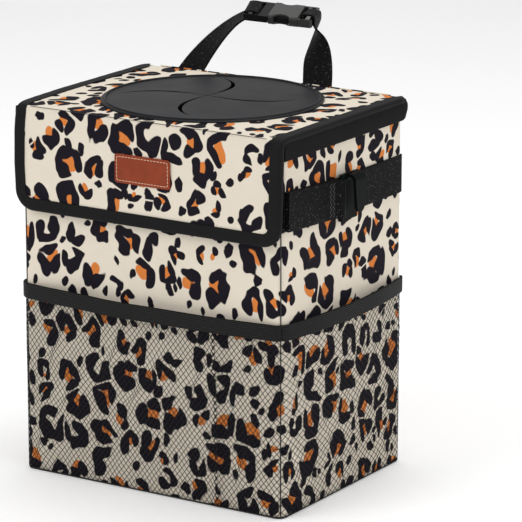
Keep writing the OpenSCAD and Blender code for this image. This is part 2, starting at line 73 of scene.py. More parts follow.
sky = bpy.data.worlds.new("studio_sky")
bpy.context.scene.world = sky
sky.use_nodes = True
sky.node_tree.nodes["Background"].inputs["Color"].default_value = (1, 1, 1, 1)
sky.node_tree.nodes["Background"].inputs["Strength"].default_value = 0.6
for name, at, width, watts in (("key_light", (-0.9, -1.7, 1.7), 1.3, 16),
                               ("side_light", (2.0, -0.6, 1.0), 1.2, 9),
                               ("top_light", (0.1, 0.5, 2.0), 1.4, 13)):
    bpy.ops.object.light_add(type="AREA", location=at)
    lamp = bpy.context.object
    lamp.name = name
    lamp.data.size = width
    lamp.data.energy = watts
    lamp.rotation_euler = (bin_middle - Vector(at)).to_track_quat("-Z", "Y").to_euler()
bpy.context.scene.view_settings.view_transform = "Standard"


# Stiffening boards: flat grey fibre sheets slipped between the outer cloth and the lining.
# Cloth, lining and rim tape hide them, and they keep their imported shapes.
def add(tree, kind, inputs, **settings):
    """A shader node; each input is a plain value or another node's output."""
    made = tree.nodes.new("ShaderNode" + kind)
    for key, value in settings.items():
        setattr(made, key, value)
    for key, value in inputs.items():
        if isinstance(value, bpy.types.NodeSocket):
            tree.links.new(value, made.inputs[key])
        else:
            made.inputs[key].default_value = value
    return made


def calc(tree, operation, a, b=0.0, c=0.0):
    """A step of arithmetic on plain values."""
    return add(tree, "Math", {0: a, 1: b, 2: c}, operation=operation).outputs[0]


def finish(name, colour, roughness, **sockets):
    """A material with the Principled shader's own values; returns it, its tree and its shader."""
    made = bpy.data.materials.new(name)
    made.use_nodes = True
    shader = made.node_tree.nodes["Principled BSDF"]
    shader.inputs["Base Color"].default_value = (*colour, 1)
    shader.inputs["Roughness"].default_value = roughness
    for key, value in sockets.items():
        shader.inputs[key.replace("_", " ")].default_value = value
    return made, made.node_tree, shader


def raised(tree, shader, height, distance, strength=1.0):
    """Adds a bump of a height to a shader; distance is its depth in metres."""
    bump = add(tree, "Bump", {"Height": height, "Distance": distance, "Strength": strength})
    tree.links.new(bump.outputs[0], shader.inputs["Normal"])


def mixed(tree, factor, first, second):
    """A mix of two colours; each is a plain colour or another node's output."""
    first, second = (colour if isinstance(colour, bpy.types.NodeSocket) else (*colour, 1)
                     for colour in (first, second))
    return add(tree, "MixRGB", {"Fac": factor, "Color1": first, "Color2": second}).outputs[0]


def two_tone(tree, shader, factor, dark, light):
    """Colours a shader from dark to light by a factor; returns the colour."""
    tone = mixed(tree, factor, dark, light)
    tree.links.new(tone, shader.inputs["Base Color"])
    return tone


def where(tree):
    """The place on the object, in metres."""
    return add(tree, "TexCoord", {}).outputs["Object"]


def noise(tree, at, scale, detail=2.0, **settings):
    """Cloudy noise from 0 to 1."""
    return add(tree, "TexNoise", {"Vector": at, "Scale": scale, "Detail": detail},
               **settings).outputs["Fac"]


def coat(part, material):
    """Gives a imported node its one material."""
    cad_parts[part].data.materials.clear()
    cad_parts[part].data.materials.append(material)


board, tree, shader = finish("grey_board", (0.06, 0.06, 0.065), 0.8)
fibres = noise(tree, where(tree), 900.0, 4.0)
two_tone(tree, shader, fibres, (0.04, 0.04, 0.045), (0.09, 0.09, 0.095))
raised(tree, shader, fibres, 0.2 * MM)
for part in ("front_board", "back_board", "left_board_front", "left_board_rear",
             "right_board_front", "right_board_rear", "base_board"):
    coat(part, board)


# Outer cloth of the walls: one length of coated polyester, printed with leopard spots on cream,
# seamed at the upright corners and drawn over the boards, so that it lies nearly flat.
body_w, body_d, body_h, corner_r = 230 * MM, 170 * MM, 280 * MM, 6 * MM
cloth_t = 1 * MM
cream, navy, orange = (0.735, 0.662, 0.552), (0.0095, 0.0075, 0.0125), (0.64, 0.2, 0.045)


def choose(piece):
    """Makes a piece the only one that is selected."""
    bpy.ops.object.select_all(action="DESELECT")
    piece.select_set(True)
    bpy.context.view_layer.objects.active = piece


def shape_with(piece, kind, **settings):
    """Adds a modifier to a piece and applies it."""
    choose(piece)
    modifier = piece.modifiers.new(kind.title(), kind)
    for key, value in settings.items():
        setattr(modifier, key, value)
    bpy.ops.object.modifier_apply(modifier=modifier.name)


def thicken(piece, thickness, offset=0.0):
    """Gives a sheet its thickness: half on each side or, with an offset of -1, behind its face."""
    shape_with(piece, "SOLIDIFY", thickness=thickness, offset=offset)


def soften(piece, width, segments, least_turn=30):
    """Rounds a piece's edges, where they turn by more than an angle in degrees."""
    shape_with(piece, "BEVEL", width=width, segments=segments, limit_method="ANGLE",
               angle_limit=math.radians(least_turn))


def weld(piece):
    """Joins the two ends of a sheet that runs all the way round."""
    choose(piece)
    bpy.ops.object.mode_set(mode="EDIT")
    bpy.ops.mesh.select_all(action="SELECT")
    bpy.ops.mesh.remove_doubles(threshold=1e-5)
    bpy.ops.object.mode_set(mode="OBJECT")


def sheet(name, cells, flat, lay):
    """A grid of cloth of the size flat, laid in place by lay(u, v), with u and v as its UV map."""
    bpy.ops.object.select_all(action="DESELECT")
    bpy.ops.mesh.primitive_grid_add(x_subdivisions=cells[0], y_subdivisions=cells[1], size=1)
    piece = bpy.context.object
    piece.name = piece.data.name = name
    relay(piece, flat, lay)
    bpy.ops.object.shade_smooth()
    return piece


def relay(piece, flat, lay):
    """Moves a flat grid's points to where lay(u, v) puts them."""
    mesh = piece.data
    flat_at = np.empty(3 * len(mesh.vertices))
    mesh.vertices.foreach_get("co", flat_at)
    flat_at = flat_at.reshape(-1, 3)
    u, v = (flat_at[:, 0] + 0.5) * flat[0], (flat_at[:, 1] + 0.5) * flat[1]
    mesh.vertices.foreach_set("co", np.column_stack(lay(u, v)).ravel())
    corners = np.empty(len(mesh.loops), int)
    mesh.loops.foreach_get("vertex_index", corners)
    layer = mesh.uv_layers[0] if mesh.uv_layers else mesh.uv_layers.new(name="UVMap")
    layer.data.foreach_set("uv", np.column_stack((u, v))[corners].ravel())
    mesh.update()


def waves(seed, size, count=9):
    """Soft waves of about one size in all directions, from -1 to 1, the same on every run."""
    dice = np.random.default_rng(seed)
    turn = dice.uniform(0, math.tau, count)
    push = math.tau / (size * dice.uniform(0.7, 1.6, count))
    start = dice.uniform(0, math.tau, count)
    return lambda x, y: sum(
        np.sin(push[i] * (x * math.cos(turn[i]) + y * math.sin(turn[i])) + start[i])
        for i in range(count)) / count ** 0.5 / 1.3


def measured(points):
    """The length of a line through points, and a function that gives the place at a distance."""
    points = np.array(points, float)
    along = np.concatenate(([0], np.cumsum(np.linalg.norm(np.diff(points[:, :3], axis=0), axis=1))))
    return along[-1], lambda s: tuple(np.interp(s, along, column) for column in points.T)


def box_ring(inset):
    """The plan outline of the box, drawn in by an inset: its length, and a function that gives
    the place and the outward direction at a distance along it from the middle of the back."""
    hx, hy, r = body_w / 2 - inset, body_d / 2 - inset, max(corner_r - inset, 0.4 * MM)
    points = [(0, hy, 0, 0, 1)]
    for cx, cy, first in ((-1, 1, 90), (-1, -1, 180), (1, -1, 270), (1, 1, 0)):
        for step in range(13):
            a = math.radians(first + 7.5 * step)
            points.append((cx * (hx - r) + r * math.cos(a), cy * (hy - r) + r * math.sin(a), 0,
                           math.cos(a), math.sin(a)))
    points.append((0, hy, 0, 0, 1))
    length, at = measured(points)

    def beside(s, out=0.0):
        x, y, _, nx, ny = at(s)
        return x + nx * out, y + ny * out
    return length, beside


def ramp(distance, over):
    """A rise from 0 to 1 over the first part of a distance."""
    return np.clip(distance / over, 0, 1)


ring_l, ring_at = box_ring(0)
half_arc = corner_r * math.pi / 4
seams_at = np.cumsum([body_w / 2 - corner_r + half_arc, body_d - 2 * corner_r + 2 * half_arc,
                      body_w - 2 * corner_r + 2 * half_arc, body_d - 2 * corner_r + 2 * half_arc])
wall_waves, fine_waves = waves(3, 90 * MM), waves(4, 26 * MM)
wall_columns, seam_columns = 296, (43, 104, 192, 253)


def lay_walls(u, v):
    u = np.interp(u / ring_l * wall_columns, [0, *seam_columns, wall_columns],
                  [0, *seams_at, ring_l])
    from_seam = np.min(np.abs(u[:, None] - seams_at[None, :]), axis=1)
    z = cloth_t + v * (body_h - cloth_t) / body_h
    free = ramp(from_seam, 30 * MM) * ramp(v, 20 * MM) * ramp(body_h - v, 30 * MM)
    out = free * (0.5 * MM * wall_waves(u, v) + 0.12 * MM * fine_waves(u, v) + 0.15 * MM)
    # the narrow valley of the corner seam
    out -= 0.9 * MM * np.exp(-(from_seam / (1.3 * MM)) ** 2)
    return *ring_at(u, out), z


walls = sheet("printed_walls", (wall_columns, 70), (ring_l, body_h), lay_walls)
weld(walls)
thicken(walls, cloth_t, -1)


def vector(tree, operation, a, b=(0, 0, 0)):
    """A step of vector arithmetic; a LENGTH comes out as a plain value."""
    made = add(tree, "VectorMath", {0: a, 1: b}, operation=operation)
    return made.outputs["Value" if operation == "LENGTH" else 0]


def turned(tree, at, angle):
    """A place turned round the origin of the flat cloth."""
    return add(tree, "VectorRotate", {"Vector": at, "Angle": angle},
               rotation_type="Z_AXIS").outputs[0]


def scattered(tree, at, spacing, uneven, feature):
    """Cells scattered over the flat cloth, which are spots of the print."""
    return add(tree, "TexVoronoi", {"Vector": at, "Scale": 1 / spacing, "Randomness": uneven},
               voronoi_dimensions="2D", feature=feature).outputs


def dice_in(tree, colour):
    """Three random numbers of a cell, taken from its random colour."""
    return add(tree, "SeparateColor", {0: colour}).outputs


def remap(tree, value, start=0.0, end=1.0, low=0.0, high=1.0):
    """Turns the range from start to end into the range from low to high."""
    return add(tree, "MapRange", {"Value": value, "From Min": start, "From Max": end,
                                  "To Min": low, "To Max": high}).outputs[0]


out_of_reach = 9.0


def rosettes():
    """Node group: at a place on the cloth in millimetres, how far outside the dark lobes and
    the orange core of the nearest rosette it lies."""
    group = bpy.data.node_groups.new("rosettes", "ShaderNodeTree")
    group.interface.new_socket("Place", in_out="INPUT", socket_type="NodeSocketVector")
    for output in ("Dark", "Core"):
        group.interface.new_socket(output, in_out="OUTPUT", socket_type="NodeSocketFloat")
    given = group.nodes.new("NodeGroupInput").outputs["Place"]
    spacing, bare_strip = 22.6, 0.5
    bend = add(group, "TexNoise", {"Vector": given, "Scale": 0.07, "Detail": 0.0},
               noise_dimensions="2D").outputs["Color"]
    bend = vector(group, "SUBTRACT", bend, (0.5, 0.5, 0.5))
    bent = vector(group, "ADD", given, vector(group, "MULTIPLY", bend, (7, 7, 0)))
    cell, room, border = (scattered(group, bent, spacing, 0.66, feature)
                          for feature in ("F1", "N_SPHERE_RADIUS", "DISTANCE_TO_EDGE"))
    dice = dice_in(group, cell["Color"])
    more = add(group, "TexWhiteNoise", {"Vector": cell["Position"]}, noise_dimensions="2D")
    more_dice = dice_in(group, more.outputs["Color"])
    local = vector(group, "SUBTRACT", bent, cell["Position"])
    local = turned(group, local, calc(group, "MULTIPLY", dice[0], math.tau))
    # each rosette is as large as its neighbours leave room for, and some are a little smaller
    size = calc(group, "MULTIPLY", room["Radius"], calc(group, "MULTIPLY_ADD", dice[1], 0.7, 2.2))
    local = add(group, "VectorMath", {0: local, "Scale": calc(group, "DIVIDE", 1.0, size)},
                operation="SCALE").outputs[0]
    longer = calc(group, "MULTIPLY_ADD", more_dice[2], 0.36, 0.84)
    longer = add(group, "CombineXYZ", {"X": longer, "Y": calc(group, "DIVIDE", 1.0, longer)})
    local = vector(group, "MULTIPLY", local, longer.outputs[0])
    wobble = noise(group, given, 0.16, 0.0, noise_dimensions="2D")
    wobble = calc(group, "MULTIPLY_ADD", wobble, 2.2, -1.2)

    def lobe(middle, radii, turn):
        """Distance outside an ellipse of the rosette; its middle and radii are in millimetres."""
        at = turned(group, vector(group, "SUBTRACT", local, (*middle, 0)), turn)
        at = vector(group, "MULTIPLY", at, (1 / radii[0], 1 / radii[1], 0))
        return calc(group, "MULTIPLY_ADD", vector(group, "LENGTH", at), min(radii), -min(radii))

    def lost(distance, die, above):
        """A lobe's distance, out of reach where a die shows more than a number."""
        return calc(group, "MULTIPLY_ADD", calc(group, "GREATER_THAN", die, above), out_of_reach,
                    distance)

    # some rosettes lose their third lobe, some their second as well
    upper = lobe((0.6, 6.2), (7.2, 4.3), 0.1)
    left = lost(lobe((-6.1, -1.4), (4.3, 7.3), -0.2), more_dice[0], 0.88)
    right = lost(lobe((6.1, -2.8), (4.3, 6.5), 0.3), dice[2], 0.66)
    dark = calc(group, "SMOOTH_MIN", upper, left, 2.6)
    dark = calc(group, "SMOOTH_MIN", dark, right, 2.2)
    dark = calc(group, "ADD", dark, wobble)
    # neighbours leave a strip of bare cloth between them
    border = calc(group, "MULTIPLY_ADD", border["Distance"], -spacing, bare_strip)
    dark = calc(group, "SMOOTH_MAX", dark, border, 4.2)
    core = lobe((0.1, -0.8), (3.6, 4.8), 0.3)
    core = calc(group, "ADD", core, calc(group, "MULTIPLY", wobble, 0.55))
    result = group.nodes.new("NodeGroupOutput")
    group.links.new(dark, result.inputs["Dark"])
    group.links.new(lost(core, more_dice[1], 0.8), result.inputs["Core"])
    return group


rosette_print = rosettes()


def on_cloth(tree):
    """The place on the flat cloth or tape, in metres, from its UV map."""
    return add(tree, "UVMap", {}).outputs[0]


def printed(tree, shader):
    """The leopard print, with the weave of the cloth."""
    flat = on_cloth(tree)
    # millimetres, with the pattern drawn out upwards by a seventh
    here = vector(tree, "MULTIPLY", flat, (1000, 870, 0))

    def spots(at):
        made = tree.nodes.new("ShaderNodeGroup")
        made.node_tree = rosette_print
        tree.links.new(at, made.inputs["Place"])
        return made.outputs

    def inside(distance):
        """From 0 to 1 over the soft edge of a spot."""
        return remap(tree, distance, 0.22, -0.22)

    rosette = spots(here)
    dot_spacing, bare_strip = 13.0, 0.5
    dot, dot_edge = (scattered(tree, here, dot_spacing, 0.9, feature)
                     for feature in ("F1", "DISTANCE_TO_EDGE"))
    dot_dice = dice_in(tree, dot["Color"])
    dot_r = calc(tree, "MULTIPLY_ADD", dot_dice[0], 1.9, 1.9)
    from_dot = vector(tree, "SUBTRACT", here, dot["Position"])
    from_dot = turned(tree, from_dot, calc(tree, "MULTIPLY", dot_dice[1], math.pi))
    from_dot = vector(tree, "LENGTH", vector(tree, "MULTIPLY", from_dot, (1, 0.66, 1)))
    dot_wobble = noise(tree, here, 0.25, 0.5, noise_dimensions="2D")
    from_dot = calc(tree, "MULTIPLY_ADD", dot_wobble, 2.0, from_dot)
    dot_dark = calc(tree, "SUBTRACT", calc(tree, "SUBTRACT", from_dot, 1.0), dot_r)
    dot_edge = calc(tree, "MULTIPLY_ADD", dot_edge["Distance"], -dot_spacing, bare_strip)
    dot_dark = calc(tree, "SMOOTH_MAX", dot_dark, dot_edge, 0.6)
    # a dot too near to a rosette is left out
    clear_of = calc(tree, "SUBTRACT", spots(dot["Position"])["Dark"], dot_r)
    crowded = calc(tree, "LESS_THAN", clear_of, 0.9)
    dot_dark = calc(tree, "MULTIPLY_ADD", crowded, out_of_reach, dot_dark)
    dark_in = calc(tree, "MAXIMUM", inside(rosette["Dark"]), inside(dot_dark))
    ground = mixed(tree, noise(tree, flat, 45.0, 3.0), [0.95 * c for c in cream],
                   [1.04 * c for c in cream])
    colour = mixed(tree, inside(rosette["Core"]), ground, orange)
    tree.links.new(mixed(tree, dark_in, colour, navy), shader.inputs["Base Color"])
    woven(tree, shader, flat, 0.42 * MM, 0.05 * MM)


def ribs(tree, flat, scale, way, uneven, **more):
    """The ribs of a weave, from 0 to 1."""
    inputs = {"Vector": flat, "Scale": scale, "Distortion": uneven, **more}
    return add(tree, "TexWave", inputs, bands_direction=way).outputs["Fac"]


def woven(tree, shader, flat, pitch, depth):
    """A plain weave on coordinates in metres. Its waves are about one and a half pitches long."""
    steps = [ribs(tree, flat, 1 / pitch / math.pi / 1.57, way, 0.3) for way in "XY"]
    raised(tree, shader, calc(tree, "MULTIPLY", *steps), depth)


printed_cloth, tree, shader = finish("printed_polyester", cream, 0.7,
                                     Specular_IOR_Level=0.07)
printed(tree, shader)


def fit(piece, material, body, slot, *replaced):
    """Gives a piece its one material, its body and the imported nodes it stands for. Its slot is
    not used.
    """
    piece.data.materials.clear()
    piece.data.materials.append(material)
    if body:
        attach(piece, body)
    if replaced:
        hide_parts(*replaced)


fit(walls, printed_cloth, "root", "printed_cloth",
    "front_panel", "back_panel", "left_panel", "right_panel")


# Corner seams: the walls' panels are sewn face to face down each upright corner, which leaves a
# narrow valley with a dark piping cord in it that also stands in for the valley's shade, as a
# painted shade line. A black hem cord closes the bottom edge all round.
def thread(name, runs, thick, closed=False):
    """Sewing thread or piping laid along runs of points, as one mesh."""
    line = bpy.data.curves.new(name, "CURVE")
    line.dimensions = "3D"
    line.bevel_depth = thick / 2
    line.bevel_resolution = 1
    line.use_fill_caps = not closed
    for run in runs:
        spline = line.splines.new("POLY")
        spline.use_cyclic_u = closed
        spline.points.add(len(run) - 1)
        spline.points.foreach_set("co", [c for point in run for c in (*point, 1)])
    piece = bpy.data.objects.new(name, line)
    bpy.context.collection.objects.link(piece)
    choose(piece)
    bpy.ops.object.convert(target="MESH")
    bpy.ops.object.shade_smooth()
    return bpy.context.object


def yarn(name, colour, roughness, fibre_scale, depth, **sockets):
    """A thread's material, with the fine bump of its fibres."""
    made, tree, shader = finish(name, colour, roughness, **sockets)
    raised(tree, shader, noise(tree, where(tree), fibre_scale), depth)
    return made


black_thread = yarn("black_thread", (0.012, 0.012, 0.013), 0.6, 2500.0, 0.1 * MM)
seams = thread("corner_seams", [[(*ring_at(s, -0.35 * MM), z * MM) for z in range(2, 280, 6)]
                                for s in seams_at], 0.9 * MM)
fit(seams, black_thread, "root", "binding_tape")
hem = thread("bottom_hem", [[(*ring_at(s, 0.1 * MM), 0.6 * MM) for s in
                             np.linspace(0, ring_l, 240, endpoint=False)]], 0.9 * MM, closed=True)
fit(hem, black_thread, "root", "binding_tape")


# Bottom: one thick black cloth, cut with rounded corners and sewn to the walls in the hem. It is
# the outer skin under the base board, and the bin stands on it.
black_cloth, tree, shader = finish("black_polyester", (0.007, 0.007, 0.0075), 0.6,
                                   Specular_IOR_Level=0.05)
place = where(tree)
tone = noise(tree, place, 60.0, 5.0)
two_tone(tree, shader, tone, (0.0045, 0.0045, 0.005), (0.0085, 0.0085, 0.009))
grain = add(tree, "TexVoronoi", {"Vector": place, "Scale": 2100.0}).outputs["Distance"]
raised(tree, shader, grain, 0.12 * MM, 0.8)

bpy.ops.object.select_all(action="DESELECT")
bpy.ops.mesh.primitive_plane_add(size=1, location=(0, 0, 0))
base = bpy.context.object
base.name = base.data.name = "base_cloth"
base.scale = (body_w, body_d, 1)
bpy.ops.object.transform_apply(location=False, rotation=False, scale=True)
bpy.ops.object.mode_set(mode="EDIT")
bpy.ops.mesh.select_all(action="SELECT")
bpy.ops.mesh.bevel(offset=corner_r, segments=6, affect="VERTICES")
bpy.ops.mesh.select_all(action="SELECT")
bpy.ops.mesh.extrude_region_move(TRANSFORM_OT_translate={"value": (0, 0, cloth_t)})
bpy.ops.mesh.select_all(action="SELECT")
bpy.ops.mesh.normals_make_consistent(inside=False)
bpy.ops.object.mode_set(mode="OBJECT")
soften(base, 0.3 * MM, 2)
fit(base, black_cloth, "root", "black_cloth", "base_panel")


# Waterproof lining: a thin grey film bag, welded to shape, hung inside the boards and caught in
# the rim binding. It is a little too big, so it creases softly.
lining_inset, lining_t, lining_h, lining_floor_inset = 3 * MM, 0.6 * MM, 276.4 * MM, 3.7 * MM
lining_ring_l, lining_at = box_ring(lining_inset)
film_waves, film_creases = waves(11, 70 * MM), waves(12, 22 * MM)
film, tree, shader = finish("lining_film", (0.27, 0.28, 0.3), 0.38, Coat_Weight=0.2)
place = where(tree)
cloud = noise(tree, place, 22.0, 5.0)
two_tone(tree, shader, cloud, (0.23, 0.24, 0.26), (0.31, 0.32, 0.34))
pebble = add(tree, "TexVoronoi", {"Vector": place, "Scale": 1300.0}).outputs["Distance"]
raised(tree, shader, pebble, 0.1 * MM, 0.6)


def lay_lining(u, v):
    free = ramp(v, 25 * MM) * ramp(276 * MM - v, 40 * MM)
    slack = 0.7 + 0.6 * film_waves(u, v) + 0.35 * film_creases(u, v)
    out = -free * MM * np.maximum(slack, 0.1)
    return *lining_at(u, out), lining_inset + v


def lay_lining_floor(u, v):
    z = 3.15 * MM + 0.25 * MM * (1 + film_waves(u, v))
    return u - body_w / 2 + lining_floor_inset, v - body_d / 2 + lining_floor_inset, z


lining = sheet("lining_bag", (150, 60), (lining_ring_l, lining_h), lay_lining)
weld(lining)
lining_floor = sheet("lining_floor", (60, 44), (body_w - 2 * lining_floor_inset,
                                                body_d - 2 * lining_floor_inset), lay_lining_floor)
choose(lining)
lining_floor.select_set(True)
bpy.ops.object.join()
thicken(lining, lining_t)
fit(lining, film, "root", "lining", "lining")


# Rim binding: black twill tape with slanting ribs, folded over the top edge of the walls and the
# lining, and sewn through them.
twill, tree, shader = finish("black_twill_tape", (0.006, 0.006, 0.006), 0.6,
                             Specular_IOR_Level=0.12)
flat = on_cloth(tree)
slants = ribs(tree, flat, 330.0, "DIAGONAL", 1.0, **{"Detail": 1.0, "Detail Scale": 3.0})
fuzz = noise(tree, flat, 900.0, 3.0)
two_tone(tree, shader, calc(tree, "MULTIPLY", slants, fuzz), (0.003, 0.003, 0.003),
         (0.014, 0.014, 0.0145))
raised(tree, shader, calc(tree, "MULTIPLY_ADD", slants, 0.6, fuzz), 0.07 * MM)

rim_l, rim_fold = measured([(0.4, -10, 0), (0.4, -0.4, 0), (0.2, 0.1, 0), (-0.4, 0.4, 0),
                            (-3.2, 0.4, 0), (-3.8, 0.1, 0), (-4.0, -0.4, 0), (-4.0, -10, 0)])


def lay_rim(u, v):
    out, up, _ = rim_fold(v / MM)
    return *ring_at(u, out * MM), body_h + up * MM


rim = sheet("rim_tape", (240, 12), (ring_l, rim_l * MM), lay_rim)
weld(rim)
thicken(rim, 0.8 * MM)
fit(rim, twill, "root", "binding_tape", "rim_binding")


# Front closing strip, the soft half: a woven band of nylon loops, which the flap's hooks catch.
# It is sewn to the front wall, under the flap.
strip_w, strip_h, strip_t, strip_z = 110 * MM, 20 * MM, 1.5 * MM, 215.7 * MM


def closing_strip(name, middle_y, material, body, node_name):
    """A strip of nylon tape across the middle of the front, softly rounded at its edges."""
    bpy.ops.object.select_all(action="DESELECT")
    bpy.ops.mesh.primitive_cube_add(size=1, location=(0, middle_y, strip_z + strip_h / 2))
    piece = bpy.context.object
    piece.name = piece.data.name = name
    piece.scale = (strip_w, strip_t, strip_h)
    bpy.ops.object.transform_apply(location=True, rotation=False, scale=True)
    shape_with(piece, "BEVEL", width=0.6 * MM, segments=3)
    bpy.ops.object.shade_smooth_by_angle(angle=math.radians(50))
    fit(piece, material, body, "closing_strip", node_name)


loops, tree, shader = finish("closing_loops", (0.02, 0.02, 0.021), 0.9, Sheen_Weight=0.12,
                             Sheen_Roughness=0.6)
place = where(tree)
tangle = add(tree, "TexNoise", {"Vector": place, "Scale": 1600.0, "Detail": 4.0,
                                "Distortion": 1.5}).outputs["Fac"]
two_tone(tree, shader, tangle, (0.008, 0.008, 0.009), (0.05, 0.05, 0.052))
raised(tree, shader, tangle, 0.4 * MM)
closing_strip("closing_loops", -body_d / 2 - strip_t / 2, loops, "root", "loop_strip")


# Pocket nets: black knotless netting with diamonds 4.2 mm wide in front and 6.4 mm at the sides,
# sewn into the corner seams and the hem. The front one has a pleat and slack folds.
thread_t, net_solid, pocket_bow = 0.5 * MM, 0.5, 8 * MM
net_bottom, net_top = 1.5 * MM, 140 * MM
net_waves, net_creases = waves(21, 60 * MM), waves(22, 17 * MM)
net_black = yarn("net_thread", (0.006, 0.006, 0.0065), 0.6, 3000.0, 0.1 * MM,
                 Specular_IOR_Level=0.2)


def bow(share):
    """How far a pocket stands off its wall at a share of the way between its seams."""
    return pocket_bow * (1 - np.abs(2 * share - 1) ** 2.3)


def rise(z):
    """The share of a pocket's bow at a height: the net is tight at the hem."""
    return 0.08 + 0.92 * ramp(z - net_bottom, net_top - net_bottom) ** 0.75


def netting(name, flat, cell_w, cell_h, lay):
    """Diamond netting of a flat size, cut from a square grid turned by an eighth of a turn."""
    count = math.ceil(flat[0] / cell_w + flat[1] / cell_h) + 2
    bpy.ops.object.select_all(action="DESELECT")
    bpy.ops.mesh.primitive_grid_add(x_subdivisions=count, y_subdivisions=count, size=count,
                                    location=(0, 0, 0))
    piece = bpy.context.object
    piece.name = piece.data.name = name
    bpy.ops.object.mode_set(mode="EDIT")
    bpy.ops.transform.rotate(value=math.pi / 4, orient_axis="Z", center_override=(0, 0, 0))
    bpy.ops.transform.resize(value=(cell_w / 2 ** 0.5 / flat[0], cell_h / 2 ** 0.5 / flat[1], 1),
                             center_override=(0, 0, 0))
    for x, y in ((1, 0), (-1, 0), (0, 1), (0, -1)):
        bpy.ops.mesh.select_all(action="SELECT")
        bpy.ops.mesh.bisect(plane_co=(x / 2, y / 2, 0), plane_no=(x, y, 0), clear_outer=True)
    bpy.ops.object.mode_set(mode="OBJECT")
    relay(piece, flat, lay)
    shape_with(piece, "WIREFRAME", thickness=thread_t, use_even_offset=True,
               use_boundary=True, use_replace=True)
    bpy.ops.object.shade_smooth()
    return piece


front_l = seams_at[2] - seams_at[1]
pleat_at, pleat_w = 172 * MM, 4.5 * MM
# each slack fold: where it starts and ends, from the middle of the hem, its width and its lift
front_folds = ((-15, 136, -43, 73, 5, 2.2), (22, 116, -18, 65, 6, 2.4), (-55, 88, -82, 52, 5, 1.8),
               (60, 120, 35, 80, 5, 1.3), (-92, 60, -104, 4, 5, 3.0), (-80, 30, -100, 8, 4, 2.4),
               (-70, 128, -92, 84, 6, 1.4), (90, 60, 76, 20, 6, 1.2))


def lay_front_net(u, v):
    steps = [0, pleat_at, pleat_at + pleat_w, pleat_at + 2 * pleat_w, front_l + 2 * pleat_w]
    s = np.interp(u, steps, [0, pleat_at, pleat_at + pleat_w, pleat_at, front_l])
    z = net_bottom + v
    pleat = np.interp(u, [pleat_at - 3 * MM, *steps[1:4], steps[3] + 3 * MM],
                      [0, 0.9 * MM, 1.5 * MM, 0.5 * MM, 0])
    share = s / front_l
    free = ramp(share, 0.06) * ramp(1 - share, 0.06)
    hung = ramp(net_top - z, 22 * MM) * ramp(v, 8 * MM)
    out = 0.5 * MM + bow(share) * rise(z) + pleat
    out = out + free * hung * MM * (0.9 * net_waves(s, z) + 0.5 * net_creases(s, z))
    for x0, z0, x1, z1, width, lift in front_folds:
        run = np.array([x1 - x0, z1 - z0]) * MM
        reach = np.hypot(*run)
        run = run / reach
        dx, dz = s - front_l / 2 - x0 * MM, z - z0 * MM
        along, off = dx * run[0] + dz * run[1], dz * run[0] - dx * run[1]
        inside = ramp(along, 12 * MM) * ramp(reach - along, 12 * MM)
        near = inside * np.exp(-(off / (width * MM)) ** 2)
        out = out + lift * MM * near * hung
        draw = 0.68 * off * near * free
        s, z = s + draw * run[1], z - draw * run[0] * hung
    return *ring_at(seams_at[1] + s, np.maximum(out, 0.45 * MM)), np.maximum(z, net_bottom)


front_net = netting("front_netting", (front_l + 2 * pleat_w, net_top - net_bottom),
                    4.2 * MM, 5.3 * MM, lay_front_net)
fit(front_net, net_black, "root", "net", "front_net")

side_l = seams_at[3] - seams_at[2]
side_waves, side_creases = waves(23, 55 * MM), waves(24, 15 * MM)


def lay_side_net(u, v):
    s, z = u, net_bottom + v
    share = s / side_l
    free = ramp(share, 0.08) * ramp(1 - share, 0.08) * ramp(net_top - z, 22 * MM) * ramp(v, 8 * MM)
    out = 0.5 * MM + bow(share) * rise(z)
    out = out + free * MM * (1.1 * side_waves(s, z) + 0.6 * side_creases(s, z))
    return *ring_at(seams_at[2] + s, np.maximum(out, 0.45 * MM)), z


def mirrored(piece, name):
    """A copy with a mesh of its own, for the other side of the bin."""
    choose(piece)
    bpy.ops.object.duplicate(linked=False)
    copy = bpy.context.object
    copy.name = copy.data.name = name
    bpy.ops.object.mode_set(mode="EDIT")
    bpy.ops.mesh.select_all(action="SELECT")
    bpy.ops.transform.resize(value=(-1, 1, 1), center_override=(0, 0, 0))
    bpy.ops.mesh.flip_normals()
    bpy.ops.object.mode_set(mode="OBJECT")
    return copy


def fit_both(right, left_name, material, body, slot, *node):
    """Fits a right piece and its mirrored copy on the left, each with the node of its side."""
    left = mirrored(right, left_name)
    for piece, side in ((right, "right_"), (left, "left_")):
        fit(piece, material, body, slot, *(side + name for name in node))
    return right, left


right_net = netting("right_netting", (side_l, net_top - net_bottom), 6.4 * MM, 5.5 * MM,
                    lay_side_net)
for net in fit_both(right_net, "left_netting", net_black, "root", "net", "net"):
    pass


# Pocket tapes: 12 mm black tape with ribs along it, folded over the top of each net and sewn
# through. The ends are caught in the corner seams.
pocket_tape_w, pocket_tape_z = 12 * MM, 135 * MM
tape_sag = waves(31, 80 * MM)
ribbed_tape, tree, shader = finish("ribbed_pocket_tape", (0.007, 0.007, 0.007), 0.6,
                                   Specular_IOR_Level=0.14)
flat = on_cloth(tree)
cords = ribs(tree, flat, 210.0, "Y", 0.8, **{"Detail Scale": 2.0})
fuzz = noise(tree, flat, 900.0, 3.0)
two_tone(tree, shader, calc(tree, "MULTIPLY", cords, fuzz), (0.002, 0.002, 0.002),
         (0.03, 0.03, 0.029))
raised(tree, shader, calc(tree, "MULTIPLY_ADD", fuzz, 0.4, cords), 0.2 * MM)


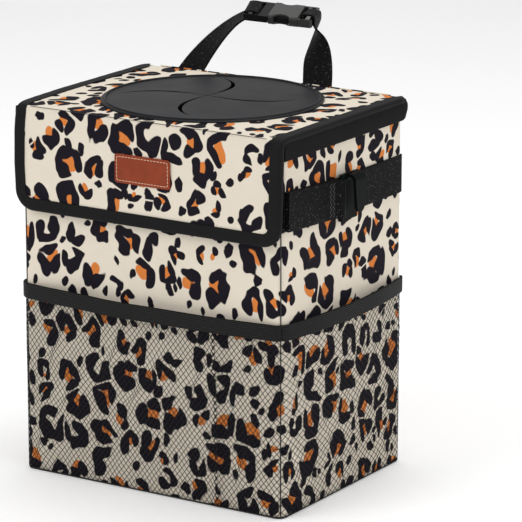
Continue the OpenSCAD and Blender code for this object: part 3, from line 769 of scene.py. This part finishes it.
def pocket_tape(name, first, length):
    """The tape between the corner seam numbered first and the next one."""
    def lay(u, v):
        share = u / length
        out = 1.35 * MM + bow(share) + 0.2 * MM * tape_sag(u, v)
        z = pocket_tape_z + v + 0.5 * MM * np.sin(math.pi * share) * tape_sag(u, 0 * v)
        return *ring_at(seams_at[first] + u, out), z
    piece = sheet(name, (90, 6), (length, pocket_tape_w), lay)
    thicken(piece, 2.2 * MM)
    soften(piece, 0.7 * MM, 3)
    return piece


front_tape = pocket_tape("front_pocket_edge", 1, front_l)
fit(front_tape, ribbed_tape, "root", "binding_tape", "front_pocket_tape")
right_tape = pocket_tape("right_pocket_edge", 2, side_l)
fit_both(right_tape, "left_pocket_edge", ribbed_tape, "root", "binding_tape", "pocket_tape")


# Side straps: ribbed black webbing 29 mm wide, with a few glossy yarns whose glints are painted as
# light specks in its colour. One is sewn flat across each side, with its ends in the corner seams.
strap_w, webbing_t, strap_z = 29 * MM, 1.5 * MM, 227 * MM
webbing, tree, shader = finish("ribbed_webbing", (0.005, 0.005, 0.0055), 0.55,
                               Specular_IOR_Level=0.05)
flat = on_cloth(tree)
picks = ribs(tree, flat, 200.0, "Y", 0.6)
rows = calc(tree, "MULTIPLY_ADD", ribs(tree, flat, 300.0, "X", 0.4), 0.45, picks)
fuzz = noise(tree, flat, 1800.0)
base_tone = two_tone(tree, shader, calc(tree, "MULTIPLY", rows, fuzz), (0.001, 0.001, 0.0012),
                     (0.013, 0.013, 0.014))
# painted highlights: light specks in the colour stand in for the light that the raised bends of the
# glossy yarn catch
painted_glint_specks = add(tree, "TexVoronoi", {"Vector": flat, "Scale": 640.0, "Randomness": 0.7})
painted_glint_specks = remap(tree, painted_glint_specks.outputs["Distance"], 0.42, 0.1)
sparse = remap(tree, noise(tree, flat, 420.0, 1.0), 0.5, 0.62)
two_tone(tree, shader, calc(tree, "MULTIPLY", painted_glint_specks, sparse), base_tone, (0.13, 0.13, 0.135))
raised(tree, shader, calc(tree, "MULTIPLY_ADD", fuzz, 0.4, rows), 0.25 * MM)


def ribbon(name, path, across, width):
    """Webbing laid along a path, with the direction across it at each point."""
    path, across = np.array(path, float), np.array(across, float)
    if across.ndim == 1:
        across = np.tile(across, (len(path), 1))
    length, at = measured(np.hstack((path, across)))

    def lay(u, v):
        x, y, z, ax, ay, az = at(v)
        off = u - width / 2
        return x + ax * off, y + ay * off, z + az * off
    piece = sheet(name, (10, len(path) - 1), (width, length), lay)
    thicken(piece, webbing_t)
    soften(piece, 0.45 * MM, 2, 60)
    bpy.ops.object.shade_smooth_by_angle(angle=math.radians(60))
    return piece


def strap_at(x, y):
    """A place on the strap's middle line: its front end is sewn in a little higher."""
    level_to, front_rise = -14 * MM, 3.5 * MM
    return x, y, strap_z + front_rise * ramp(level_to - y, 71 * MM)


strap_path = [strap_at(*ring_at(s, webbing_t / 2 + 0.1 * MM))
              for s in np.linspace(seams_at[2] + 1 * MM, seams_at[3] - 1 * MM, 60)]
right_strap = ribbon("right_strap", strap_path, (0, 0, -1), strap_w)
fit_both(right_strap, "left_strap", webbing, "root", "webbing", "side_strap")


# Hook loops: a second length of the same webbing, from the front seam round the hook's bar and
# back under itself, held by two rows of zigzag stitches.
bar_x, bar_y, bar_loop_r = 119.9 * MM, -12 * MM, 2.65 * MM
loop_front, loop_flat_to, loop_under_from = -82.5, -21, -14
strap_x = body_w / 2 + webbing_t
outer_x, step_out = strap_x + 1.5 * webbing_t, 3.8 * MM
loop_path = [(outer_x, y * MM) for y in np.linspace(loop_front, loop_flat_to, 24)]
loop_path += [(outer_x + (0.5 - 0.5 * math.cos(math.pi * t)) * step_out, (-20.5 + 8.5 * t) * MM)
              for t in np.linspace(0.05, 0.95, 14)]
loop_path += [(bar_x + bar_loop_r * math.cos(a), bar_y + bar_loop_r * math.sin(a))
              for a in np.linspace(0, math.pi, 13)]
loop_path += [(strap_x + 0.5 * webbing_t, y * MM)
              for y in np.linspace(loop_under_from, loop_front, 24)]
right_loop = ribbon("right_hook_loop_webbing", [strap_at(x, y) for x, y in loop_path],
                    (0, 0, -1), strap_w)
fit_both(right_loop, "left_hook_loop_webbing", webbing, "root", "webbing", "hook_loop")


def zigzag(start, end, sideways, step):
    """Points of a zigzag of stitches between two places, with its swing to each side."""
    start, end, sideways = np.array(start), np.array(end), np.array(sideways)
    count = max(2, round(np.linalg.norm(end - start) / step))
    return [tuple(start + (end - start) * i / count + sideways * (1 if i % 2 else -1))
            for i in range(count + 1)]


stitch_grey = yarn("sewing_thread", (0.09, 0.09, 0.095), 0.5, 3500.0, 0.08 * MM)
face_x, stitch_rows = strap_x + 2 * webbing_t + 0.05 * MM, (-25.5 * MM, -21.5 * MM)
right_stitches = thread("right_strap_stitches", [
    zigzag((x, y, z - strap_w / 2 + 2 * MM), (x, y, z + strap_w / 2 - 2 * MM),
           (0, 1.3 * MM, 0), 1.9 * MM)
    for x, y, z in (strap_at(face_x, row) for row in stitch_rows)], 0.5 * MM)
fit_both(right_stitches, "left_strap_stitches", stitch_grey, "root", "webbing")


# Bag hooks: one nylon moulding each, black with a faint green cast, slightly grained. Its bar is
# what the hook loop goes round.
def moulded(name, dark, light, roughness, gloss, clouds=(180.0, 4.0), grain=(2600.0, 0.5)):
    """Moulded plastic or rubber: a fine grain from the tool, and cloudy, smoother rubbed places.
    clouds is their scale and detail, and grain its scale and strength."""
    made, tree, shader = finish(name, dark, roughness, Specular_IOR_Level=gloss)
    place = where(tree)
    cloud = noise(tree, place, *clouds)
    two_tone(tree, shader, cloud, dark, light)
    raised(tree, shader, noise(tree, place, grain[0]), 0.03 * MM, grain[1])
    rubbed = remap(tree, cloud, low=roughness - 0.06, high=roughness + 0.08)
    tree.links.new(rubbed, shader.inputs["Roughness"])
    return made


hook_nylon = moulded("hook_nylon", (0.003, 0.004, 0.0037), (0.006, 0.0075, 0.007), 0.42, 0.04)
for side in ("left", "right"):
    coat(side + "_bag_hook", hook_nylon)


# Handle: two legs of 25 mm webbing from the back of the box. Each twists as it rises, passes
# round a bar of the buckle and is sewn back on itself.
handle_w, foot_top = 25 * MM, 264 * MM
lid_top, axis_z, rear_axis_y = 284.7 * MM, 282.9 * MM, 83.2 * MM
buckle_at = np.array((-18, 109.5, 331.2)) * MM
buckle_turn, buckle_dip, buckle_tilt = (math.radians(a) for a in (19, 4, 10))


def to_bin(v):
    """A direction in the buckle's own frame, turned into the frame of the bin."""
    x, y, z = v
    y, z = (y * math.cos(buckle_tilt) - z * math.sin(buckle_tilt),
            y * math.sin(buckle_tilt) + z * math.cos(buckle_tilt))
    x, z = (x * math.cos(buckle_dip) + z * math.sin(buckle_dip),
            z * math.cos(buckle_dip) - x * math.sin(buckle_dip))
    return np.array((x * math.cos(buckle_turn) - y * math.sin(buckle_turn),
                     x * math.sin(buckle_turn) + y * math.cos(buckle_turn), z))


def handle_leg(name, base_x, end_at, lean, reach, drop, late, wrap):
    """A leg from the back of the box to the place end_at of the buckle, and on round its bars.
    It leaves its foot the way lean says, comes to the buckle from reach beside and drop below,
    and twists the nearer to the buckle, the larger late is."""
    end = buckle_at + to_bin((end_at[0] * MM, 0, end_at[1] * MM))
    base = np.array((base_x * MM, body_d / 2 + webbing_t / 2, foot_top))
    bends = (base, base + np.array(lean) * MM, end + to_bin((reach * MM, 0, 0)) - (0, 0, drop * MM),
             end)
    path = [base + (0, 0, z * MM) for z in range(-30, 0, 3)]
    across = [np.array((1, 0, 0))] * len(path)
    turn, rise = buckle_turn - math.pi / 2, -to_bin((0, 1, 0))[2]
    for step in range(41):
        t = step / 40
        ways = ((1 - t) ** 3, 3 * t * (1 - t) ** 2, 3 * t * t * (1 - t), t ** 3)
        path.append(sum(w * p for w, p in zip(ways, bends)))
        slope = (1 - t) ** 2 * (bends[1] - bends[0]) + 2 * t * (1 - t) * (bends[2] - bends[1]) \
            + t * t * (bends[3] - bends[2])
        slope = slope / np.linalg.norm(slope)
        ease = t ** late
        level = np.array((math.cos(turn * ease), math.sin(turn * ease), rise * ease))
        level = level - level.dot(slope) * slope
        across.append(level / np.linalg.norm(level))
    path += [buckle_at + to_bin((x * MM, 0, z * MM)) for x, z in wrap]
    across += [across[-1]] * len(wrap)
    return ribbon(name, path, across, handle_w)


left_leg = handle_leg("left_handle_webbing", -89, (-19.05, -3.65), (4, 14, 23), -16, 8, 1.15,
                      ((-19.3, -2.2), (-19.3, 1.2), (-18.8, 2.9), (-17.4, 3.65), (-14, 3.75),
                       (-11.2, 3.65), (-9.4, 2.9), (-8.6, 1.4), (-8.4, -1.5)))
right_leg = handle_leg("right_handle_webbing", 36, (36.25, -4.05), (-2, 14, 34), -2, 24, 2.6,
                       ((36.5, -2.4), (36.5, 1.5), (36.0, 3.2), (34.6, 4.05), (31, 4.15),
                        (28.2, 4.05), (26.4, 3.2), (25.7, 1.5), (25.6, -1.5)))
fit(left_leg, webbing, None, "webbing", "handle_leg_left")
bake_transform(left_leg)
fit(right_leg, webbing, "root", "webbing", "handle_leg_right")


# Buckle: a side-release buckle in two acetal mouldings; the plug is matt black and the socket's
# plate is dark grey and glossier.
plug_black = moulded("plug_acetal", (0.006, 0.006, 0.0065), (0.01, 0.01, 0.0105), 0.4, 0.1)
socket_grey = moulded("socket_acetal", (0.034, 0.033, 0.032), (0.045, 0.044, 0.043), 0.24, 0.3)
coat("buckle_plug", plug_black)
coat("buckle_socket", socket_grey)


# Lid and flap cards: two stiff grey sheets, hinged by the cloth that runs over both. They follow
# the cover's outline, which narrows a little towards the fold, more on the left than on the right.
lid_hx, roll_r, hole_r = 118.6 * MM, 1.8 * MM, 76.8 * MM
front_axis_y, flap_z, flap_corner_r = -90.1 * MM, 205.7 * MM, 14 * MM
flap_out, flap_in = front_axis_y - roll_r, front_axis_y + roll_r
crease_at = math.pi * roll_r + rear_axis_y - front_axis_y
lid_card_l, flap_card_h, card_t = 169 * MM, 74.6 * MM, 1.9 * MM


def edge_at(v, side):
    """The cover's left (-1) or right (1) edge at a distance along it from the lid's rear edge."""
    reach = [118.6, 118.6, 118.6, 118.3, 118.2, 117.6, 116.6] if side > 0 else \
        [118.6, 118, 115.6, 113.6, 115.2, 115.8, 114.4]
    return side * np.interp(v / MM, [0, 120, 162, 180, 196, 222, 256], reach) * MM


def rounded_off(from_end, radius):
    """How far a panel's edge is drawn in at a distance from its rounded end."""
    d = np.clip(radius - from_end, 0, radius)
    return radius - np.sqrt(np.maximum(radius ** 2 - d ** 2, 0))


def place_across(u, v, drawn_in):
    """The place across a panel at u, from 0 to 1, and at v along the cover."""
    left, right = edge_at(v, -1) + drawn_in, edge_at(v, 1) - drawn_in
    return right + (left - right) * u


def cut_hole(piece):
    """Opens the round hole for the disc in a sheet, where it lies on the lid."""
    lid_from, ring = 281.2 * MM, 1.5 * MM
    bpy.ops.object.mode_set(mode="EDIT")
    bpy.ops.mesh.select_mode(type="VERT")
    bpy.ops.mesh.select_all(action="DESELECT")
    bpy.ops.object.mode_set(mode="OBJECT")
    for vertex in piece.data.vertices:
        off = math.hypot(vertex.co.x, vertex.co.y)
        vertex.select = vertex.co.z > lid_from and off < hole_r - ring
    bpy.ops.object.mode_set(mode="EDIT")
    bpy.ops.mesh.delete(type="VERT")
    bpy.ops.object.mode_set(mode="OBJECT")
    for vertex in piece.data.vertices:
        off = math.hypot(vertex.co.x, vertex.co.y)
        if vertex.co.z > lid_from and off < hole_r + ring:
            vertex.co.x *= hole_r / off
            vertex.co.y *= hole_r / off


def lay_lid_card(u, v):
    x = place_across(u, 4.4 * MM + v, 1.6 * MM + rounded_off(v + 1 * MM, 8 * MM))
    return x, 81 * MM - v, 282.7 * MM + 0 * u


lid_card = sheet("lid_card", (80, 58), (1, lid_card_l), lay_lid_card)
cut_hole(lid_card)
thicken(lid_card, card_t)
fit(lid_card, board, "lid", "board", "lid_board")


def lay_flap_card(u, v):
    drawn_in = 1.6 * MM + rounded_off(flap_card_h - v, flap_corner_r)
    x = place_across(u, crease_at + v, drawn_in)
    return x, flap_out + 2 * MM + 0 * u, 281 * MM - v


flap_card = sheet("flap_card", (80, 28), (1, flap_card_h), lay_flap_card)
thicken(flap_card, card_t)
fit(flap_card, board, "flap", "board", "flap_board")


# Lid and flap cloth: one piece of the printed cloth. It starts under the lid's rear edge, covers
# the lid's card, rolls over the front crease and covers the flap's card.
cover_path = [(rear_axis_y + roll_r * math.cos(a), axis_z + roll_r * math.sin(a), 0)
              for a in np.linspace(-math.pi / 2, math.pi / 2, 9)]
cover_path += [(front_axis_y - roll_r * math.sin(a), axis_z + roll_r * math.cos(a), 0)
               for a in np.linspace(0, math.pi / 2, 7)]
cover_path.append((flap_out, flap_z + 0.6 * MM, 0))
cover_l, cover_at = measured(cover_path)
cover_waves, cover_fine = waves(41, 80 * MM), waves(42, 24 * MM)


def eased(x, y, z):
    """The fold over the crease is softer at its two ends, where the edge tape draws it in."""
    corner = np.hypot(y - flap_out, z - lid_top) / (6 * MM)
    pull = 2.2 * MM * np.exp(-corner ** 2) * ramp(np.abs(x) - 92 * MM, 24 * MM) ** 1.5
    return y + pull * 0.7, z - pull * 0.7


def lay_cover(u, v):
    y, z, _ = cover_at(v)
    ahead = cover_at(v + 0.5 * MM)
    behind = cover_at(v - 0.5 * MM)
    ty, tz = ahead[0] - behind[0], ahead[1] - behind[1]
    size = np.hypot(ty, tz)
    drawn_in = np.maximum(rounded_off(v - 4 * MM, 8 * MM), rounded_off(cover_l - v, flap_corner_r))
    x = place_across(u / (2 * lid_hx), v, drawn_in)
    from_disc = np.where(v < crease_at - 3 * MM, np.hypot(x, y), 1)
    free = ramp(from_disc - 85 * MM, 9 * MM) * ramp(np.minimum(u, 2 * lid_hx - u), 14 * MM) \
        * ramp(cover_l - v, 14 * MM)
    out = free * MM * (0.25 * cover_waves(x, v) + 0.1 * cover_fine(x, v))
    return x, *eased(x, y + out * tz / size, z - out * ty / size)


cover = sheet("lid_and_flap_cover", (80, 88), (2 * lid_hx, cover_l), lay_cover)
cut_hole(cover)
thicken(cover, cloth_t, -1)
fit(cover, printed_cloth, None, "printed_cloth", "lid_cloth", "flap_cloth")
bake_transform(cover)
# a dark thread along the crease: a line of stitches that also stands in for the crease's shadow, as
# a painted shade line
fold = thread("fold_stitch_and_shade_line", [[(x * MM, front_axis_y - 1.2 * MM, lid_top - 0.25 * MM)
                             for x in np.linspace(-101, 106, 60)]], 0.45 * MM)
fit(fold, black_thread, None, "binding_tape")
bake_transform(fold)


# Lid and flap lining: the same grey film as inside the box, one sheet under each card. The lid's
# sheet is cut out round the disc, and the tapes hold the edges of both.
lid_lining_w, lid_lining_l = 2 * lid_hx - 6 * MM, 168 * MM
flap_lining_w, flap_lining_h, flap_waves = 233 * MM, 74.5 * MM, waves(43, 50 * MM)


def lay_lid_lining(u, v):
    x = place_across(u / lid_lining_w, 175 * MM - v, 2.4 * MM)
    return x, v - 87 * MM, 281.4 * MM + 0 * u


lid_lining = sheet("lid_lining_film", (80, 58), (lid_lining_w, lid_lining_l), lay_lid_lining)
bpy.ops.object.mode_set(mode="EDIT")
bpy.ops.mesh.select_all(action="SELECT")
bpy.ops.mesh.flip_normals()
bpy.ops.object.mode_set(mode="OBJECT")
cut_hole(lid_lining)
thicken(lid_lining, 0.5 * MM)
fit(lid_lining, film, "lid", "lining", "lid_lining")


def lay_flap_lining(u, v):
    drawn_in = 0.9 * MM + rounded_off(v + 0.5 * MM, flap_corner_r)
    x = place_across(u / flap_lining_w, cover_l - v, drawn_in)
    return x, flap_in - 0.3 * MM + 0.1 * MM * flap_waves(u, v), flap_z + 0.6 * MM + v


flap_lining = sheet("flap_lining_film", (80, 28), (flap_lining_w, flap_lining_h), lay_flap_lining)
thicken(flap_lining, 0.5 * MM)
fit(flap_lining, film, "flap", "lining", "flap_lining")


# Edge tape: one length of twill tape, folded over the edge of the cover. It runs along the lid's
# left edge, over the crease, round the flap's three free edges and back along the lid's right.
def edge_half(side):
    """The run along the left (-1) or right (1) edge of the lid and the flap, from the lid's rear
    to the flap's bottom: the place, the way inwards over the cloth, and the way out of it."""
    rear_y, rear_r, corner_z = 77 * MM, 8 * MM, 221

    def x_at(y, z):
        return edge_at(crease_at - roll_r + front_axis_y - y + axis_z - z, side)
    run = [(x_at(rear_y, axis_z) - side * rear_r * (1 - math.cos(a)),
            rear_y + rear_r * math.sin(a), lid_top, -side * math.cos(a), -math.sin(a), 0, 0, 0, 1)
           for a in np.linspace(1.1, 0, 6)]
    run += [(x_at(y * MM, axis_z), y * MM, lid_top, -side, 0, 0, 0, 0, 1)
            for y in np.linspace(75, -88, 54)]
    run += [(x_at(front_axis_y - roll_r * a, axis_z), front_axis_y - roll_r * math.sin(a),
             axis_z + roll_r * math.cos(a), -side, 0, 0, 0, -math.sin(a), math.cos(a))
            for a in np.linspace(0, math.pi / 2, 7)]
    run += [(x_at(flap_out, z * MM), flap_out, z * MM, -side, 0, 0, 0, -1, 0)
            for z in np.linspace(280, corner_z, 20)]
    run += [(x_at(flap_out, corner_z * MM - flap_corner_r * math.sin(a))
             - side * flap_corner_r * (1 - math.cos(a)), flap_out,
             flap_z + flap_corner_r * (1 - math.sin(a)), -side * math.cos(a), 0, math.sin(a),
             0, -1, 0) for a in np.linspace(0, math.pi / 2, 10)]
    return run


left_run, right_run = edge_half(-1), edge_half(1)
flap_bottom = [(x * MM, flap_out, flap_z, 0, 0, 1, 0, -1, 0) for x in np.linspace(-97, 99, 70)]
edge_l, edge_place = measured(left_run + flap_bottom + right_run[::-1])
fold_l, fold_at = measured([(9, 0.4, 0), (6, 0.42, 0), (3, 0.45, 0), (0.3, 0.4, 0),
                            (-0.15, 0.25, 0), (-0.4, -0.1, 0), (-0.4, -3.3, 0)])
pucker = waves(51, 14 * MM)


def lay_edge(u, v):
    x, y, z, ix, iy, iz, nx, ny, nz = edge_place(v)
    inward, up, _ = fold_at(u / MM)
    inward, up = inward * MM, (up + 0.07 * pucker(u, v)) * MM
    x = x + ix * inward + nx * up
    return x, *eased(x, y + iy * inward + ny * up, z + iz * inward + nz * up)


edge_tape = sheet("edge_tape", (9, 300), (fold_l * MM, edge_l), lay_edge)
thicken(edge_tape, 0.7 * MM)
soften(edge_tape, 0.25 * MM, 2, 60)
fit(edge_tape, twill, None, "binding_tape", "left_lid_binding", "right_lid_binding",
    "flap_binding")
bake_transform(edge_tape)


# Inner tape: the half of the folded twill tape that lies on the flap's lining. It is sewn through
# with the half in front.
flap_points = 30
inner_path = [(x, y + 3.6 * MM, z, ix, iy, iz, 0, 1, 0) for x, y, z, ix, iy, iz, *_ in
              left_run[-flap_points:] + flap_bottom + right_run[:-flap_points - 1:-1]]
inner_l, inner_at = measured(inner_path)
inner_fold_l, inner_fold_at = measured([(-0.4, -0.2, 0), (-0.38, 0.1, 0), (-0.15, 0.3, 0),
                                        (0.3, 0.4, 0), (5, 0.42, 0), (9, 0.4, 0)])


def lay_inner(u, v):
    x, y, z, ix, _, iz, _, ny, _ = inner_at(v)
    inward, up, _ = inner_fold_at(u / MM)
    return x + ix * inward * MM, y + ny * up * MM, z + iz * inward * MM


inner_tape = sheet("flap_inner_tape", (8, 220), (inner_fold_l * MM, inner_l), lay_inner)
thicken(inner_tape, 0.7 * MM)
fit(inner_tape, twill, "flap", "binding_tape")


# Skirts: thin padded strips of black cloth that hang beside the box from the lid's side edges,
# with a rounded rear end that reaches half a millimetre past the back.
skirt_low, skirt_t, skirt_rear, skirt_r = 268 * MM, 2.4 * MM, 85.5 * MM, 7 * MM
skirt_front, skirt_h = -86.3 * MM, 14.2 * MM
skirt_waves = waves(61, 40 * MM)


def lay_skirt(u, v):
    y = skirt_front + u
    end = rounded_off(skirt_rear - y, skirt_r)
    # the rear end rises to cover the end of the edge tape
    rise_by = 3.2 * MM * ramp(y - 70 * MM, 8 * MM) ** 2
    z = skirt_low + end + v * (skirt_h + rise_by - 1.7 * end) / skirt_h
    swell = 0.5 * MM * np.sin(math.pi * ramp(v, skirt_h)) ** 0.7
    return lid_hx - skirt_t / 2 + swell - 0.2 * MM + 0.12 * MM * skirt_waves(y, z), y, z


right_skirt = sheet("right_padded_skirt", (60, 10), (skirt_rear - skirt_front, skirt_h - 0.4 * MM),
                    lay_skirt)
thicken(right_skirt, 2 * MM)
soften(right_skirt, 0.8 * MM, 4, 60)
bpy.ops.object.shade_smooth()
for piece in fit_both(right_skirt, "left_padded_skirt", black_cloth, "lid", "black_cloth", "skirt"):
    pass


# Rear hinge: a doubled strip of the printed cloth, sewn to the back of the box under the rim and
# to the lid's rear roll, which lets the lid turn.
hinge_w, hinge_r, on_wall_y, on_rim_y = 208 * MM, 2.35 * MM, 85.55 * MM, 86.25 * MM
hinge_path = [(on_wall_y, z * MM, 0) for z in np.linspace(262, 270, 4)]
hinge_path += [(on_rim_y, z * MM, 0) for z in np.linspace(272, 281, 5)]
hinge_path += [(rear_axis_y + hinge_r * math.cos(a), axis_z + hinge_r * math.sin(a), 0)
               for a in np.linspace(0.1, 1.2, 6)]
hinge_l, hinge_at = measured(hinge_path)


def lay_hinge(u, v):
    y, z, _ = hinge_at(v)
    return hinge_w / 2 - u, y, z


hinge = sheet("rear_hinge_cloth", (60, 24), (hinge_w, hinge_l), lay_hinge)
thicken(hinge, 0.8 * MM)
fit(hinge, printed_cloth, None, "printed_cloth")
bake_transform(hinge)


# Petal disc: one moulding of soft dark rubber with a satin skin, held by its rim in the lid's
# round hole. Four curved slits part its petals.
coat("petal_disc", moulded("petal_rubber", (0.0108, 0.0112, 0.0128), (0.015, 0.0154, 0.0175),
                           0.42, 0.11, (35.0, 5.0), (3200.0, 0.6)))


# Flap's closing strip, the stiff half: rows of moulded nylon hooks on a woven back, sewn inside
# the flap opposite the loops.
hooks, tree, shader = finish("closing_hooks", (0.018, 0.018, 0.019), 0.55)
place = where(tree)
rows = add(tree, "TexVoronoi", {"Vector": place, "Scale": 900.0, "Randomness": 0.25}).outputs[0]
# painted highlight and shade: the hook heads are painted lighter and the woven back between them
# darker, on the same cells as the bump
two_tone(tree, shader, rows, (0.05, 0.05, 0.052), (0.01, 0.01, 0.011))
raised(tree, shader, calc(tree, "SUBTRACT", 1.0, rows), 0.5 * MM)
closing_strip("closing_hooks", flap_in + strip_t / 2, hooks, "flap", "hook_strip")


# Patch: a plate of tan leather with rounded corners, left plain, sewn on with pale thread just
# inside its edge.
patch_w, patch_h, patch_t, patch_z = 49 * MM, 22 * MM, 1.4 * MM, 247.7 * MM
sewn_in, sewn_r, stitch_l, stitch_gap = 2.1 * MM, 1.4 * MM, 1.9 * MM, 0.9 * MM
leather, tree, shader = finish("tan_leather", (0.27, 0.05, 0.018), 0.5,
                               Specular_IOR_Level=0.2)
place = where(tree)
cloud = noise(tree, place, 110.0, 6.0)
pores = add(tree, "TexVoronoi", {"Vector": place, "Scale": 1500.0}, feature="DISTANCE_TO_EDGE")
pores = remap(tree, pores.outputs["Distance"], end=0.12)
two_tone(tree, shader, cloud, (0.2, 0.03, 0.009), (0.34, 0.06, 0.018))
raised(tree, shader, calc(tree, "MULTIPLY_ADD", cloud, 0.8, pores), 0.12 * MM)


def lay_patch(u, v):
    x, z = u - patch_w / 2, v - patch_h / 2
    half = patch_w / 2 - rounded_off(patch_h / 2 - np.abs(z), 2.5 * MM)
    x = x * half / (patch_w / 2)
    from_edge = np.minimum(half - np.abs(x), patch_h / 2 - np.abs(z))
    worn = 0.45 * MM * (1 - ramp(from_edge, 0.9 * MM)) ** 2
    groove = 0.22 * MM * np.exp(-((from_edge - sewn_in) / (0.45 * MM)) ** 2)
    return x, flap_out - patch_t + worn + groove, patch_z + z


patch = sheet("leather_label", (96, 48), (patch_w, patch_h), lay_patch)
thicken(patch, patch_t - 0.5 * MM, -1)
fit(patch, leather, "flap", "leather", "leather_patch")

patch_line = []
for cx, cy, first in ((1, 1, 0), (-1, 1, 90), (-1, -1, 180), (1, -1, 270)):
    for step in range(7):
        a = math.radians(first + 15 * step)
        patch_line.append((cx * (patch_w / 2 - sewn_in - sewn_r) + sewn_r * math.cos(a),
                           cy * (patch_h / 2 - sewn_in - sewn_r) + sewn_r * math.sin(a), 0))
patch_line.append(patch_line[0])
patch_run, patch_at = measured(patch_line)
count = round(patch_run / (stitch_l + stitch_gap))
pale_thread = yarn("pale_thread", (0.66, 0.38, 0.25), 0.55, 3500.0, 0.08 * MM)
stitch_runs = []
for i in range(count):
    run = []
    for step, lift in ((0, -0.25), (0.25, 0.12), (0.5, 0.2), (0.75, 0.12), (1, -0.25)):
        x, z, _ = patch_at((i + step * stitch_l / (stitch_l + stitch_gap)) * patch_run / count)
        run.append((x, flap_out - patch_t + (0.15 - lift) * MM, patch_z + z))
    stitch_runs.append(run)
stitches = thread("label_stitches", stitch_runs, 0.7 * MM)
fit(stitches, pale_thread, "flap", "leather")
